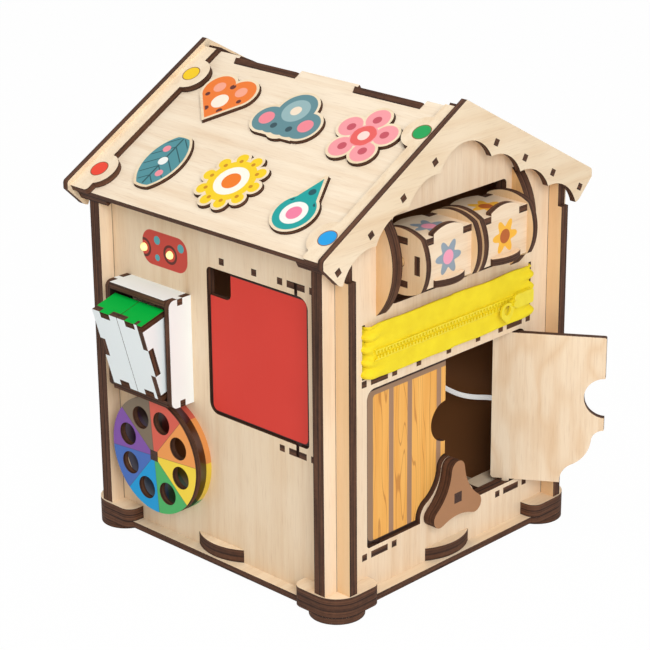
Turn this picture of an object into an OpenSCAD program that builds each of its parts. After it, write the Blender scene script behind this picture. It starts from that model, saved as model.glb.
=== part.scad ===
// Busy house: a free-standing activity house for small children, laser-cut from plywood sheets.
// +Z is up, the gable front faces -Y, and the side with the switch and the colour wheel faces -X.
// The origin is on the floor under the middle of the house. All sizes are in millimetres.

/* [Plywood] */
// Thickness of the plywood
ply = 4; // [3.8:0.1:4.2]
// Thickness of each of the two sheets of a side wall
side_ply = 3; // [2.8:0.1:4]
// Gap between a moving piece and the cut-out or stack that it moves in
gap = 0.4; // [0.3:0.1:0.6]
// Gap between a shaft or pivot and its hole, on each side
bore_gap = 0.25; // [0.2:0.05:0.4]

/* [House] */
// Width over the faces of the side walls
house_w = 185.2; // [182:0.2:192]
// Depth over the faces of the front and rear walls
house_d = 187.8; // [186:0.2:196]
// Height of the ridge over the floor
house_h = 283; // [280:1:290]
// Length that each wall sticks out past the wall that it crosses
lap = 9.8; // [8:0.2:12]
// Height at which the crossed walls change over
lap_h = 112; // [105:1:120]
// Distance from the ridge down to the top of the side walls' laps
lap_drop = 82; // [80:1:90]
// Width of the tabs that hold the walls in the base plate
floor_tab_w = 20; // [14:1:24]

/* [Base] */
// Length that the base plate sticks out past the wall faces
plate_lip = 7.7; // [7:0.1:9]
// Radius of the foot discs and of the corner brackets
foot_r = 16; // [15:0.5:17]
// Distance of a foot's centre inside the corner of the wall faces
foot_inset = 4.8; // [4:0.1:6]
// Length of a corner bracket's arm from the foot's centre
bracket_arm = 20.3; // [18:0.1:24]
// Length of a half-moon block along its wall
moon_w = 38; // [30:1:44]
// Distance that a half-moon block stands out from its wall
moon_d = 6; // [5:0.2:7]

/* [Roof] */
// Slope of the roof in degrees
pitch = 29.7; // [29:0.1:30.5]
// Distance from the front wall's face to the front of the bargeboard
gable_out = 11; // [10.8:0.1:12]
// Height of the bargeboard's top edge over the end strips
board_proud = 3; // [2:0.5:4]
// Half of the bargeboard's width
board_half = 112.5; // [111:0.5:114]
// Depth of the bargeboard at the points between its scallops
board_depth = 21.2; // [20:0.2:23]
// Radius of the scallops and of the arch under the ridge
scallop_r = 24; // [22:0.5:28]
// Distance from the last tenon to the lower end of the bargeboard
board_end = 5.4; // [5:0.1:6]
// Slope distance from the ridge to the first scallop point
scallop_start = 36.8; // [36:0.1:37.5]
// How far the roof panels stop short of the bargeboard's end
eave_back = 2.5; // [2:0.1:3.5]
// Width of the rails under the ends of the roof panels
rail_w = 24; // [20:1:26]
// Width of the end strips between their lobes
strip_w = 10; // [8:0.5:12]
// Radius of the end strips' lobes round the colour dots
lobe_r = 12; // [10:0.5:13]
// Distance down the slope to the upper colour dot
dot_high = 27; // [25:0.5:30]
// Distance down the slope to the lower colour dot
dot_low = 112; // [108:0.5:114]
// Distance from the bargeboard's back face to the dots
dot_in = 9.2; // [8:0.2:10]
// Distance from the middle to the first end of the ridge fingers
finger_from = 23; // [18:1:28]
// Distance from the middle to the second end of the ridge fingers
finger_to = 74; // [65:1:76]

/* [Puzzle] */
// Distance that the puzzle pieces stand out of the roof
piece_proud = 2; // [1:0.5:3]
// Half size of a puzzle piece
piece_r = 23; // [20:0.5:23.5]
// Slope distance from the ridge to the upper row of pieces
upper_row_len = 38; // [37:0.5:39]
// Slope distance from the ridge to the lower row of pieces
lower_row_len = 92.5; // [90:0.5:94]
// Spacing of the pieces along a row
row_pitch = 56.5; // [54:0.5:57]

/* [Doorway] */
// Half width of the doorway
door_half = 68; // [67:0.2:69]
// Height of the doorway's sill over the floor
sill_z = 33.5; // [32.5:0.1:34.5]
// Distance from the ridge down to the doorway's top
door_drop = 153.2; // [150:1:160]
// Radius of the doorway's upper corners
door_r = 6; // [4:0.5:8]
// Distance from the middle to a door's pivot
pivot_x = 57.8; // [57:0.1:58.5]
// Width of a door's pivot tab
pivot_w = 4.4; // [4:0.1:4.8]
// Width of the hinge tenons that hold the pivots
lug_w = 13.8; // [12:0.2:15]
// Distance between a doorway's edge and the hinge lug's slot
lug_drop = 2.6; // [2.2:0.1:3]
// Distance that the hinge lugs reach behind the wall
lug_reach = 15; // [12:1:18]
// How far the right door stands open
right_open = 123; // [115:1:135]
// Largest opening angle of the two doors
door_swing = 140; // [130:1:142]
// Radius of the finger notch in a door's free edge
notch_r = 12.5; // [11:0.5:14]
// Share of the way from the post to the doorway's top at which the finger notch sits
notch_share = 0.364; // [0.33:0.01:0.45]
// Gap between a door and the edges of its doorway
door_gap = 1.2; // [1:0.1:1.3]
// Gap between a door and the post in the middle of the sill
post_gap = 2; // [1.5:0.1:2.5]
// Height of the post over the sill
post_h = 34.5; // [33:0.5:36]
// Radius of the post's tip
post_tip_r = 5.6; // [5:0.1:6.5]
// Half width of the post at the sill
post_half = 23.5; // [22:0.5:24.5]
// Radius of the post's two shoulders
post_foot_r = 10; // [9:0.5:11]
// Radius of the hollow between the post's tip and a shoulder
post_fillet = 22; // [20:0.5:26]

/* [Latch] */
// Height of the latch's peg over the floor
latch_z = 45; // [44:0.5:47]
// Distance from the peg to the middle of a lobe
latch_reach = 17.5; // [16:0.5:19]
// Radius of a lobe
latch_lobe = 5.6; // [5:0.2:6.5]
// Distance from the peg to the waist between two lobes
latch_waist = 11; // [10:0.5:12]
// Width of the square pegs of the latch and the colour wheel
peg_w = 6.5; // [5:0.5:7]
// Radius of the keepers behind the walls
keeper_r = 10; // [9:0.5:12]

/* [Zip] */
// Half length of the zip between its slots
zip_half = 70.6; // [69.5:0.1:71.5]
// Distance between the doorway's top and the zip
zip_over = 7.6; // [7.3:0.1:8.5]
// Height of the zip over both tapes
zip_h = 31.5; // [30:0.5:32]
// Height of the teeth over the lower edge of the zip
chain_h = 14.2; // [13.5:0.1:15.5]
// Thickness of the tape
tape_t = 1.2; // [1:0.1:1.4]
// Distance from the wall to the back of the tape
tape_off = 2.6; // [2.6:0.1:3.2]
// Spacing of the teeth
tooth_pitch = 2.6; // [2.4:0.1:3]
// Width of the tooth rows together
teeth_w = 6; // [5:0.2:7]
// Length of the slider
slider_l = 17; // [15:0.5:18]
// Distance from the slider's middle to the end of the zip
slider_in = 12.6; // [11.6:0.5:14.6]

/* [Spinners] */
// Distance from the ridge down to the window's lower edge
window_drop = 108; // [107:0.5:110]
// Height of the spinner window
window_h = 50.5; // [50:0.1:52]
// Half width of the spinner window
window_half = 48; // [47.6:0.1:49]
// Distance from the wall to the spinner axle
axle_out = 5.2; // [5:0.1:6]
// Height of the axle over the window's lower edge
axle_rise = 26.2; // [25:0.2:27]
// Radius of the spinner axle
axle_r = 3; // [2.5:0.1:3.2]
// Outer face of a spinner's side plates, from the axle
block_half = 14.4; // [13.5:0.1:14.5]
// Radius to which the bulged end plates and arched tabs reach
block_reach = 19; // [18:0.1:19]
// Length of one spinner over its end plates
spinner_l = 46.2; // [45:0.1:46.4]
// Gap between the two spinners
spinner_gap = 1.6; // [1.2:0.1:2]
// Inner face of a spinner bracket, from the middle
bracket_x = 52.6; // [52:0.1:53.5]
// Height of a spinner bracket along the wall
bracket_h = 59; // [56:1:60]
// Distance that a spinner bracket stands out of the wall
bracket_out = 12; // [11.5:0.1:13]

/* [Red door] */
// Front edge of the red door's opening, as a distance in front of the middle
red_front = 73.4; // [72:0.2:74]
// Rear edge of the red door's opening, as a distance behind the middle
red_rear = 6.4; // [5:0.2:6.6]
// Lower edge of the red door's opening
red_z = 96.2; // [95:0.2:97]
// Distance from the ridge down to the top of the red door's opening
red_drop = 98; // [96:1:104]
// Distance from the middle to the red door's pivot
red_pivot = 64.4; // [63.8:0.1:65]
// Distance between the red door's opening and its hinge slots
red_lug_drop = 3.2; // [3:0.1:3.6]
// Length of the finger corner cut out of the red door
red_notch_w = 18.5; // [16:0.5:20]
// Height of the finger corner cut out of the red door
red_notch_h = 17; // [15:0.5:19]

/* [Colour wheel] */
// Distance of the wheel's centre behind the middle
wheel_y = 42.8; // [42.8:0.1:44]
// Height of the wheel's centre
wheel_z = 61.2; // [60:0.1:61.2]
// Radius of the wheel
wheel_r = 36; // [34:0.5:36]
// Radius of the circle of holes
hole_ring = 23.8; // [23:0.1:24.2]
// Radius of the holes
hole_r = 7; // [6:0.5:7.5]
// Number of colour sectors and holes
sectors = 8; // [6:1:8]

/* [Switch] */
// Distance of the switch box's centre behind the middle
box_y = 47.5; // [46:0.5:50]
// Height of the switch box's lower edge
box_z = 98.2; // [98.2:0.1:99]
// Height of the switch box
box_h = 66; // [64:0.5:67]
// Depth of the switch box
box_d = 17; // [16:0.5:18]
// Width of a key
key_w = 21; // [20:0.5:21.5]
// Distance from a key to the side of its box
key_side_gap = 2.1; // [1.5:0.1:2.5]
// Distance of a key's front from its axle
key_f = 13.7; // [13:0.1:14.2]
// Distance of the rocker axle from the wall
rocker_out = 12.5; // [12:0.1:13]
// Radius of the rocker axle
rocker_r = 1.5; // [1:0.1:1.8]
// Tilt of a key at rest, with its top out
key_tilt = 15.9; // [14:0.1:16]

/* [Lamps] */
// Share of the way from the switch to the roof at which the lamps sit
lamp_share = 0.41; // [0.35:0.01:0.5]
// Distance of the front lamp behind the middle
lamp_front = 36.5; // [34:0.5:40]
// Distance of the rear lamp behind the middle
lamp_rear = 58.5; // [55:0.5:61]
// Radius of a lamp
lamp_r = 2.5; // [2:0.1:3]
// Depth of the battery box
battery_d = 13; // [11:0.5:14]
// Width of the battery box
battery_w = 19; // [17:0.5:21]
// Height of the battery box
battery_h = 54; // [50:1:58]
// Height of the battery box's lower edge
battery_z = 44; // [40:1:50]
// Radius of the lead
lead_r = 1.6; // [1.2:0.1:1.8]

/* [Hidden] */
$fn = 48;

birch = "#EBD5B0";
yellow = "#F0DC28";

// Walls and corners
wall_t = 2 * ply;
side_t = 2 * side_ply;
lap_top = house_h - lap_drop;
door_top = house_h - door_drop;
zip_z = door_top + zip_over;
window_z = house_h - window_drop;
axle_z = window_z + axle_rise;
red_top = house_h - red_drop;
notch_z = sill_z + post_h + notch_share * (door_top - sill_z - post_h);
hx = house_w / 2;
hy = house_d / 2;
lx = hx + lap;
ly = hy + lap;
floor_z = 2 * ply;
bracket_h_z = floor_z + 2 * ply;
foot_x = hx - foot_inset;
foot_y = hy - foot_inset;
tab_at = hx / 2;

// Depths under the bargeboard's top edge, square to the roof
panel_d = board_proud + ply;
under_d = panel_d + ply;
rail_d = under_d + ply;
board_y = hy + gable_out;
board_in = board_y - ply;
rail_in = board_in - rail_w;
strip_in = board_in - strip_w;
strip_over = 2;
slope_len = board_half / cos(pitch);
scallop_pitch = (slope_len - board_end - scallop_start) / 3;
roof_len = slope_len - eave_back;
backing_to = roof_len - 9;
eave_z = house_h - board_half * tan(pitch);
eave_drop = 4.8;
eave_r = 2.5;
eave_c = [board_half - eave_r, roof_z(board_half - eave_r, eave_r)];
tip_r = 7;
tip_in = 15.3;
tip_drop = 10.2;
tip = [board_half - tip_in, eave_z - tip_drop];

function slope_pt(s, d) = [
    s * cos(pitch) - d * sin(pitch),
    house_h - s * sin(pitch) - d * cos(pitch)
];
function roof_z(x, d) = house_h - d / cos(pitch) - abs(x) * tan(pitch);

// A ridge finger reaches over the other panel as far as its top face
finger_x = ply / (2 * sin(pitch));
finger_end = (under_d * sin(pitch) - finger_x) / cos(pitch);
finger_root = (finger_x + panel_d * sin(pitch)) / cos(pitch);

// Doorway
leaf_low = sill_z + door_gap;
leaf_top = door_top - door_gap;
leaf_edge = door_half - door_gap;
mid_gap = 0.3;
pivot_y = -hy + ply;
pivot_r = norm([pivot_w, ply]) / 2 + bore_gap;
lintel_z = door_top + lug_drop;
sill_lug_z = sill_z - lug_drop - ply;
lug_side = lug_w / 2 + ply + 1.4;
lintel_tabs = [0, 25.4, 45.4];
tab_slack = 0.5;

// The post in the middle of the sill
post_tip = [0, sill_z + post_h - post_tip_r];
post_foot = [post_half - post_foot_r, sill_z + post_foot_r / 4];
function meet(a, ra, b, rb) =
    let (d = norm(b - a), u = (b - a) / d, x = (ra * ra - rb * rb + d * d) / (2 * d))
    a + x * u + sqrt(ra * ra - x * x) * [-u[1], u[0]];
post_hollow = meet(post_tip, post_tip_r + post_fillet, post_foot, post_foot_r + post_fillet);

// The latch's hollows are circles that touch two lobes and the waist
latch_hollow = (latch_reach * latch_reach - pow(latch_lobe - latch_waist, 2))
    / (latch_reach + 2 * (latch_lobe - latch_waist));
latch_touch = [latch_hollow * cos(30), latch_hollow * sin(30)] - [0, latch_reach];
latch_blend = norm([0, latch_reach] + latch_lobe * latch_touch / norm(latch_touch));
peg_hole_r = peg_w * sqrt(2) / 2 + bore_gap;

// Red door
red_low = red_z + door_gap;
red_high = red_top - door_gap;
red_lug_z = red_z - red_lug_drop - ply;
red_strip_z = red_top + red_lug_drop;
red_tabs = [-6, -31.9];

// Zip
slot_w = 2 * tape_t;
tape_y = -hy - tape_off;
chain_z = zip_z + chain_h;
slit = 1.4;
tooth_t = 1.3;
tape_bend = 4;
chain_half = zip_half - tape_bend;
slider_half = teeth_w / 2 + 1.2;
slide_gap = 0.3;
slider_back = tape_y + slide_gap;
slider_front = tape_y - tape_t - tooth_t - slide_gap;
slider_t = 1.5;
slider_x = zip_half - slider_in;
slider_x0 = slider_x - slider_l / 2;
pull_pin = [slider_x0 - 2, chain_z];
pin_r = 0.9;

// Spinners
axle_y = -hy - axle_out;
bulge_r = 30;
tenon_w = 11;
arch_w = 24;
arch_r = 25;
bracket_r = (bracket_h * bracket_h / 4 + bracket_out * bracket_out) / (2 * bracket_out);
bracket_tenon = 20;
press = 0.05;

// Colour wheel
wheel_out = wall_t + gap;

// Switch
box_mid = box_z + box_h / 2;
box_in = 2 * (key_w + key_side_gap) + gap;
box_top = box_z + box_h;
key_h = 2 * (box_h / 2 - ply - gap - key_f * sin(key_tilt)) / cos(key_tilt);
box_tenon = 12;
cap_back = (key_h / 2 * sin(key_tilt) + 2 * gap - rocker_out) / cos(key_tilt);
lamp_z = box_top + lamp_share * (roof_z(hx, rail_d) - box_top);
side_tab = 12;
long_tab = 18;
cap_tab = 8;

// The lead runs from the battery box along the walls to the lamps' board
lead_x = hx - side_t;
lead_y = hy - wall_t;
lamp_mid = (lamp_front + lamp_rear) / 2;
lamp_board_t = 1.2;
lead_route = [
    [lead_x - battery_d / 2, -lead_y + battery_w, battery_z + battery_h / 2],
    [80, -62, 71], [78, -56, 70.5], [75.5, -49, 69.5], [74, -40, 68.8],
    [74.5, -29, 69], [77, -16, 70], [80, -2, 72], [82, 14, 75.5], [83, 30, 79],
    [83, 46, 83], [82, 60, 86.5], [79, 71, 90], [72, 78.5, 94], [60, 82, 98.5],
    [45, 83, 104], [25, 83, 109], [0, 83, 114.5], [-25, 83, 119], [-45, 83, 123.5],
    [-60, 82, 127], [-72, 78.5, 131.5], [-79, 71, 137.5], [-82, 63, 146],
    [-82.5, 57, 157], [-81, 52, 168], [-77.5, 48.5, 176.5], [-77, 47.5, 181],
    [-80.5, lamp_mid, lamp_z], [-lead_x + lamp_board_t, lamp_mid, lamp_z]
];

module rect(x0, y0, x1, y1) {
    translate([x0, y0]) square([x1 - x0, y1 - y0]);
}

// Rectangle with its own radius at each corner: low left, low right, high right, high left
module round_rect(x0, y0, x1, y1, r) {
    polygon([
        [x0 + r[0], y0], [x1 - r[1], y0], [x1, y0 + r[1]], [x1, y1 - r[2]],
        [x1 - r[2], y1], [x0 + r[3], y1], [x0, y1 - r[3]], [x0, y0 + r[0]]
    ]);
    translate([x0 + r[0], y0 + r[0]]) circle(r[0]);
    translate([x1 - r[1], y0 + r[1]]) circle(r[1]);
    translate([x1 - r[2], y1 - r[2]]) circle(r[2]);
    translate([x0 + r[3], y1 - r[3]]) circle(r[3]);
}

module both_ways() {
    children();
    mirror([1, 0]) children();
}

// Stands a drawing in X and Z up as a sheet whose front face is at y0
module sheet_xz(y0, t) {
    translate([0, y0 + t, 0]) rotate([90, 0, 0]) linear_extrude(t) children();
}

// Stands a drawing in Y and Z up as a sheet whose left face is at x0
module sheet_yz(x0, t) {
    translate([x0, 0, 0]) rotate([90, 0, 90]) linear_extrude(t) children();
}

// Lays a drawing in slope length and depth along the house on one side of the roof
module roof_sheet(side, d, t) {
    translate([0, 0, house_h])
        rotate([0, 0, side < 0 ? 180 : 0])
        rotate([0, pitch, 0])
        translate([0, 0, -d - t])
        linear_extrude(t) children();
}

// ---- Base ----

module bracket_outline() {
    translate([foot_x, foot_y]) circle(foot_r);
    round_rect(foot_x - bracket_arm, hy - 1, foot_x, foot_y + foot_r, [0.5, 0.5, 0.5, 7]);
    round_rect(hx - 1, foot_y - bracket_arm, foot_x + foot_r, foot_y, [0.5, 7, 0.5, 0.5]);
}

module four_corners() {
    for (sx = [0, 1], sy = [0, 1])
        mirror([sx, 0, 0]) mirror([0, sy, 0]) children();
}

module feet() {
    color(birch)
        four_corners() translate([foot_x, foot_y, 0]) cylinder(h = ply, r = foot_r);
}

module base_plate() {
    color(birch)
        translate([0, 0, ply])
        linear_extrude(ply)
        difference() {
            union() {
                rect(-hx - plate_lip, -foot_y, hx + plate_lip, foot_y);
                rect(-foot_x, -hy - plate_lip, foot_x, hy + plate_lip);
                for (sx = [0, 1], sy = [0, 1])
                    mirror([sx, 0]) mirror([0, sy]) bracket_outline();
            }
            for (s = [-1, 1], t = [-1, 1]) {
                translate([s * tab_at, t * (hy - 1.5 * ply)]) square([floor_tab_w, ply], center = true);
                translate([s * (hx - 1.5 * side_ply), t * tab_at])
                    square([side_ply, floor_tab_w], center = true);
            }
        }
}

module corner_brackets() {
    color(birch)
        four_corners()
        translate([0, 0, floor_z])
        linear_extrude(2 * ply)
        difference() {
            bracket_outline();
            rect(0, 0, hx, hy);
            rect(0, hy - wall_t, lx, hy);
            rect(hx - side_t, 0, hx, ly);
        }
}

module half_moons() {
    r = (moon_w * moon_w / 4 + moon_d * moon_d) / (2 * moon_d);
    color(birch)
        for (a = [0, 90, 180, 270])
            rotate([0, 0, a])
            translate([0, 0, floor_z])
            linear_extrude(2 * ply)
            intersection() {
                translate([0, -(a % 180 == 0 ? hy : hx) - moon_d + r]) circle(r, $fn = 96);
                rect(-moon_w, -hy - 2 * moon_d, moon_w, -(a % 180 == 0 ? hy : hx));
            }
}

// ---- Front and rear walls ----

module gable_outline() {
    polygon([
        [-lx, floor_z], [lx, floor_z], [lx, roof_z(lx, rail_d)],
        [0, roof_z(0, rail_d)], [-lx, roof_z(lx, rail_d)]
    ]);
}

module floor_tabs() {
    for (s = [-1, 1]) rect(s * tab_at - floor_tab_w / 2, ply, s * tab_at + floor_tab_w / 2, floor_z + 1);
}

// Sheet of a gable wall before its own openings
module gable_sheet(tabs) {
    difference() {
        union() {
            gable_outline();
            if (tabs) floor_tabs();
        }
        both_ways() rect(hx - side_t, 0, hx, lap_h);
    }
}

// The post of the sill, made larger all round by g
module post(g) {
    translate(post_tip) circle(post_tip_r + g);
    both_ways() {
        translate(post_foot) circle(post_foot_r + g);
        rect(0, sill_z - 2, post_foot[0] + post_foot_r + g, post_foot[1]);
        difference() {
            polygon([[0, post_foot[1]], post_tip, post_hollow, post_foot]);
            translate(post_hollow) circle(post_fillet - g, $fn = 96);
        }
    }
}

module doorway() {
    difference() {
        round_rect(-door_half, sill_z, door_half, door_top, [2, 2, door_r, door_r]);
        post(0);
    }
}

module lug_tenons(x, z) {
    rect(x - lug_w / 2, z, x + lug_w / 2, z + ply);
    for (s = [-1, 1]) rect(x + s * lug_side - ply / 2, z, x + s * lug_side + ply / 2, z + ply);
}

module front_cuts() {
    doorway();
    round_rect(-window_half, window_z, window_half, window_z + window_h, [3, 3, 3, 3]);
    both_ways() {
        lug_tenons(pivot_x, lintel_z);
        lug_tenons(pivot_x, sill_lug_z);
        rect(zip_half - slot_w / 2, zip_z - 0.3, zip_half + slot_w / 2, zip_z + zip_h + 0.3);
        rect(bracket_x, axle_z - bracket_tenon / 2, bracket_x + wall_t, axle_z + bracket_tenon / 2);
        for (x = lintel_tabs) rect(x - ply / 2, lintel_z, x + ply / 2, lintel_z + ply);
    }
    translate([0, latch_z]) circle(peg_hole_r);
}

module pivot_bores() {
    for (s = [-1, 1]) {
        translate([s * pivot_x, pivot_y, lintel_z - lug_drop - 1]) cylinder(h = lug_drop + 2, r = pivot_r);
        translate([s * pivot_x, pivot_y, sill_z - lug_drop - 1]) cylinder(h = lug_drop + 2, r = pivot_r);
    }
}

module front_wall_outer() {
    color(birch)
        difference() {
            sheet_xz(-hy, ply) difference() {
                gable_sheet(false);
                front_cuts();
            }
            pivot_bores();
        }
}

module front_wall_inner() {
    color(birch)
        difference() {
            sheet_xz(-hy + ply, ply) difference() {
                gable_sheet(true);
                front_cuts();
            }
            pivot_bores();
        }
}

module rear_wall_outer() {
    color(birch) sheet_xz(hy - ply, ply) gable_sheet(false);
}

module rear_wall_inner() {
    color(birch) sheet_xz(hy - wall_t, ply) gable_sheet(true);
}

// ---- Side walls ----

// Sheet of a side wall: x is its outer face, mid_d the depth under the roof between the rails
module side_sheet(x, mid_d, tabs) {
    difference() {
        union() {
            rect(-ly, floor_z, ly, lap_top);
            rect(-board_in, floor_z, board_in, roof_z(x, rail_d));
            rect(-rail_in, floor_z, rail_in, roof_z(x, mid_d));
            if (tabs) floor_tabs();
        }
        both_ways() rect(hy - wall_t, lap_h, hy, house_h);
    }
}

module box_tenons() {
    for (y = [box_y - box_in / 2 - ply, box_y + box_in / 2], z = [box_z + 8, box_top - 8 - box_tenon])
        rect(y, z, y + ply, z + box_tenon);
}

module left_cuts() {
    round_rect(-red_front, red_z, red_rear, red_top, [3, 7, 3, 7]);
    lug_tenons(-red_pivot, red_lug_z);
    lug_tenons(-red_pivot, red_strip_z);
    for (y = red_tabs) rect(y - ply / 2, red_strip_z, y + ply / 2, red_strip_z + ply);
    translate([wheel_y, wheel_z]) circle(peg_hole_r);
    for (y = [lamp_front, lamp_rear]) translate([y, lamp_z]) circle(lamp_r + press);
    box_tenons();
}

module red_bores() {
    for (z = [red_top - 1, red_z - red_lug_drop - 1])
        translate([-hx + side_ply, -red_pivot, z]) cylinder(h = red_lug_drop + 2, r = pivot_r);
}

module left_wall_outer() {
    color(birch)
        difference() {
            sheet_yz(-hx, side_ply) difference() {
                side_sheet(hx, rail_d, false);
                left_cuts();
            }
            red_bores();
        }
}

module left_wall_inner() {
    color(birch)
        difference() {
            sheet_yz(-hx + side_ply, side_ply) difference() {
                side_sheet(hx - side_ply, rail_d, true);
                left_cuts();
            }
            red_bores();
        }
}

module right_wall_outer() {
    color(birch) sheet_yz(hx - side_ply, side_ply) side_sheet(hx, under_d, false);
}

module right_wall_inner() {
    color(birch) sheet_yz(hx - side_t, side_ply) side_sheet(hx - side_ply, under_d, true);
}

// Drawn in X and Y: the plate behind a wall of thickness t and its tenons, with the pivots' holes
module hinge_plate(x0, x1, pivots, tabs, t) {
    difference() {
        union() {
            round_rect(x0, -hy + t, x1, -hy + t + lug_reach, [0.5, 0.5, 6, 6]);
            for (x = pivots) {
                rect(x - lug_w / 2, -hy, x + lug_w / 2, -hy + t + 1);
                for (s = [-1, 1])
                    rect(x + s * lug_side - ply / 2, -hy, x + s * lug_side + ply / 2, -hy + t + 1);
            }
            for (x = tabs) rect(x - ply / 2, -hy, x + ply / 2, -hy + t + 1);
        }
        for (x = pivots) translate([x, -hy + t / 2]) circle(pivot_r);
    }
}

// Turns a hinge plate of the front wall into one of the left wall, at y along the side
module on_left_wall() {
    translate([hy - hx, 0, 0]) rotate([0, 0, -90]) children();
}

module hinge_lugs() {
    half = lug_side + ply;
    end = pivot_x + half;
    color(birch) {
        translate([0, 0, lintel_z]) linear_extrude(ply)
            hinge_plate(-end, end, [-pivot_x, pivot_x], [for (x = lintel_tabs, s = [-1, 1]) s * x], wall_t);
        for (x = [-pivot_x, pivot_x])
            translate([0, 0, sill_lug_z]) linear_extrude(ply)
                hinge_plate(x - half, x + half, [x], [], wall_t);
        on_left_wall() {
            translate([0, 0, red_lug_z]) linear_extrude(ply)
                hinge_plate(red_pivot - half, red_pivot + half, [red_pivot], [], side_t);
            translate([0, 0, red_strip_z]) linear_extrude(ply)
                hinge_plate(-red_tabs[0] - 2 * ply, red_pivot + half, [red_pivot], -red_tabs, side_t);
        }
    }
}

// ---- Roof ----

// One roof panel; own is true where its ridge fingers lie between finger_from and finger_to
module roof_panel_2d(own) {
    bands = own
        ? [[finger_from, finger_to], [-finger_to, -finger_from]]
        : [[-finger_from, finger_from], [finger_to, strip_in], [-strip_in, -finger_to]];
    rect(finger_root, -board_in, roof_len, board_in);
    for (b = bands) rect(finger_end, b[0], finger_root + 1, b[1]);
    if (!own)
        for (b = [[strip_in, board_in], [-board_in, -strip_in]])
            rect(panel_d * tan(pitch), b[0], finger_root + 1, b[1]);
}

module roof_panel_left() {
    color(birch)
        roof_sheet(-1, panel_d, ply)
        difference() {
            roof_panel_2d(false);
            puzzle_pockets();
        }
}

module roof_panel_right() {
    color(birch) roof_sheet(1, panel_d, ply) roof_panel_2d(true);
}

// End strip along one bargeboard, with a lobe round each colour dot and a flare at the eave
module end_strip_2d() {
    rect(panel_d * tan(pitch), board_in - strip_w, roof_len + strip_over, board_in);
    for (s = [dot_high, dot_low])
        intersection() {
            translate([s, board_in - dot_in]) circle(lobe_r);
            rect(0, 0, roof_len, board_in);
        }
    round_rect(roof_len + strip_over - 12, board_in - strip_w - 4, roof_len + strip_over, board_in,
        [5, 2, 0.2, 0.2]);
}

module end_strips() {
    color(birch)
        for (side = [-1, 1], m = [0, 1])
            roof_sheet(side, board_proud, ply) mirror([0, m]) end_strip_2d();
}

function tenon_s(i) = scallop_start + i * scallop_pitch;

module roof_rails() {
    color(birch)
        for (side = [-1, 1], m = [0, 1])
            roof_sheet(side, under_d, ply)
            mirror([0, m]) {
                rect(rail_d * tan(pitch), rail_in, roof_len, board_in);
                for (i = [0:3])
                    rect(tenon_s(i) - ply / 2, board_in - 1, tenon_s(i) + ply / 2, board_y);
            }
}

module puzzle_backing() {
    color(birch) roof_sheet(-1, under_d, ply) rect(finger_root + 4, -rail_in, backing_to, rail_in);
}

module bargeboard_2d() {
    cusp = slope_pt(tenon_s(0), board_depth);
    sag = sqrt(scallop_r * scallop_r - scallop_pitch * scallop_pitch / 4);
    difference() {
        both_ways() {
            polygon([
                [0, house_h], eave_c + eave_r * [sin(pitch), cos(pitch)],
                eave_c + [eave_r, 0], [board_half, eave_z - eave_drop],
                tip + tip_r * [cos(35), -sin(35)], tip,
                slope_pt(tenon_s(3), board_depth), cusp, [0, cusp[1]]
            ]);
            translate(tip) circle(tip_r);
            translate(eave_c) circle(eave_r);
        }
        translate([0, cusp[1] - sqrt(scallop_r * scallop_r - cusp[0] * cusp[0])])
            circle(scallop_r, $fn = 96);
        both_ways() {
            for (i = [0:2])
                translate(slope_pt(tenon_s(i) + scallop_pitch / 2, board_depth + sag))
                    circle(scallop_r, $fn = 96);
            for (i = [0:3])
                translate(slope_pt(tenon_s(i), rail_d - ply / 2))
                    rotate(-pitch) square(ply, center = true);
        }
    }
}

module bargeboards() {
    color(birch) {
        sheet_xz(-board_y, ply) bargeboard_2d();
        sheet_xz(board_in, ply) bargeboard_2d();
    }
}

// ---- Puzzle pieces, drawn with up the slope as +Y, and made larger all round by g ----

module heart_2d(g) {
    a = piece_r * 1.07;
    translate([0, -a * 0.07]) {
        rotate(45) square(a + 2 * g, center = true);
        for (s = [-1, 1]) translate([s, 1] * a / sqrt(8)) circle(a / 2 + 0.1 + g);
    }
}

module cloud_2d(g) {
    r = piece_r * 1.15;
    translate([0, -r * 0.1]) {
        translate([0, r * 0.32]) circle(r * 0.55 + g);
        translate([-r * 0.52, -r * 0.1]) circle(r * 0.44 + g);
        translate([r * 0.52, -r * 0.06]) circle(r * 0.46 + g);
        translate([0, -r * 0.2]) circle(r * 0.4 + g);
        rect(-r * 0.52, -r * 0.54 - g, r * 0.52, 0);
    }
}

module flower_2d(g) {
    petal = piece_r * 0.4;
    circle(piece_r * 0.45 + g);
    for (a = [90:72:378])
        rotate(a) translate([piece_r - petal, 0]) circle(petal + g);
}

module leaf_2d(g) {
    r = piece_r * 1.2;
    intersection() {
        translate([-r * 0.46, 0]) circle(r + g);
        translate([r * 0.46, 0]) circle(r + g);
        circle(piece_r - 1.5 + g);
    }
}

module sun_2d(g) {
    bump = piece_r * 0.24;
    circle(piece_r - bump + g);
    for (a = [0:36:324])
        rotate(a) translate([piece_r - bump, 0]) circle(bump + g);
}

module drop_2d(g) {
    r = piece_r * 0.64;
    top = 2 * piece_r - r - 1.5 + g;
    translate([0, r - piece_r]) {
        circle(r + g);
        polygon([[r * 0.95 + g, 0], [1 + g, top], [-1 - g, top], [-r * 0.95 - g, 0]]);
    }
}

// Slope length and distance behind the middle of piece i, in two rows of three
function piece_at(i) = [i < 3 ? upper_row_len : lower_row_len, (1 - i % 3) * row_pitch];

module piece_2d(i, g) {
    at = piece_at(i);
    translate([at[0], -at[1]])
        rotate(90) {
            if (i == 0) heart_2d(g);
            if (i == 1) cloud_2d(g);
            if (i == 2) flower_2d(g);
            if (i == 3) leaf_2d(g);
            if (i == 4) sun_2d(g);
            if (i == 5) drop_2d(g);
        }
}

module puzzle_pockets() {
    for (i = [0:5]) piece_2d(i, gap);
}

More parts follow.
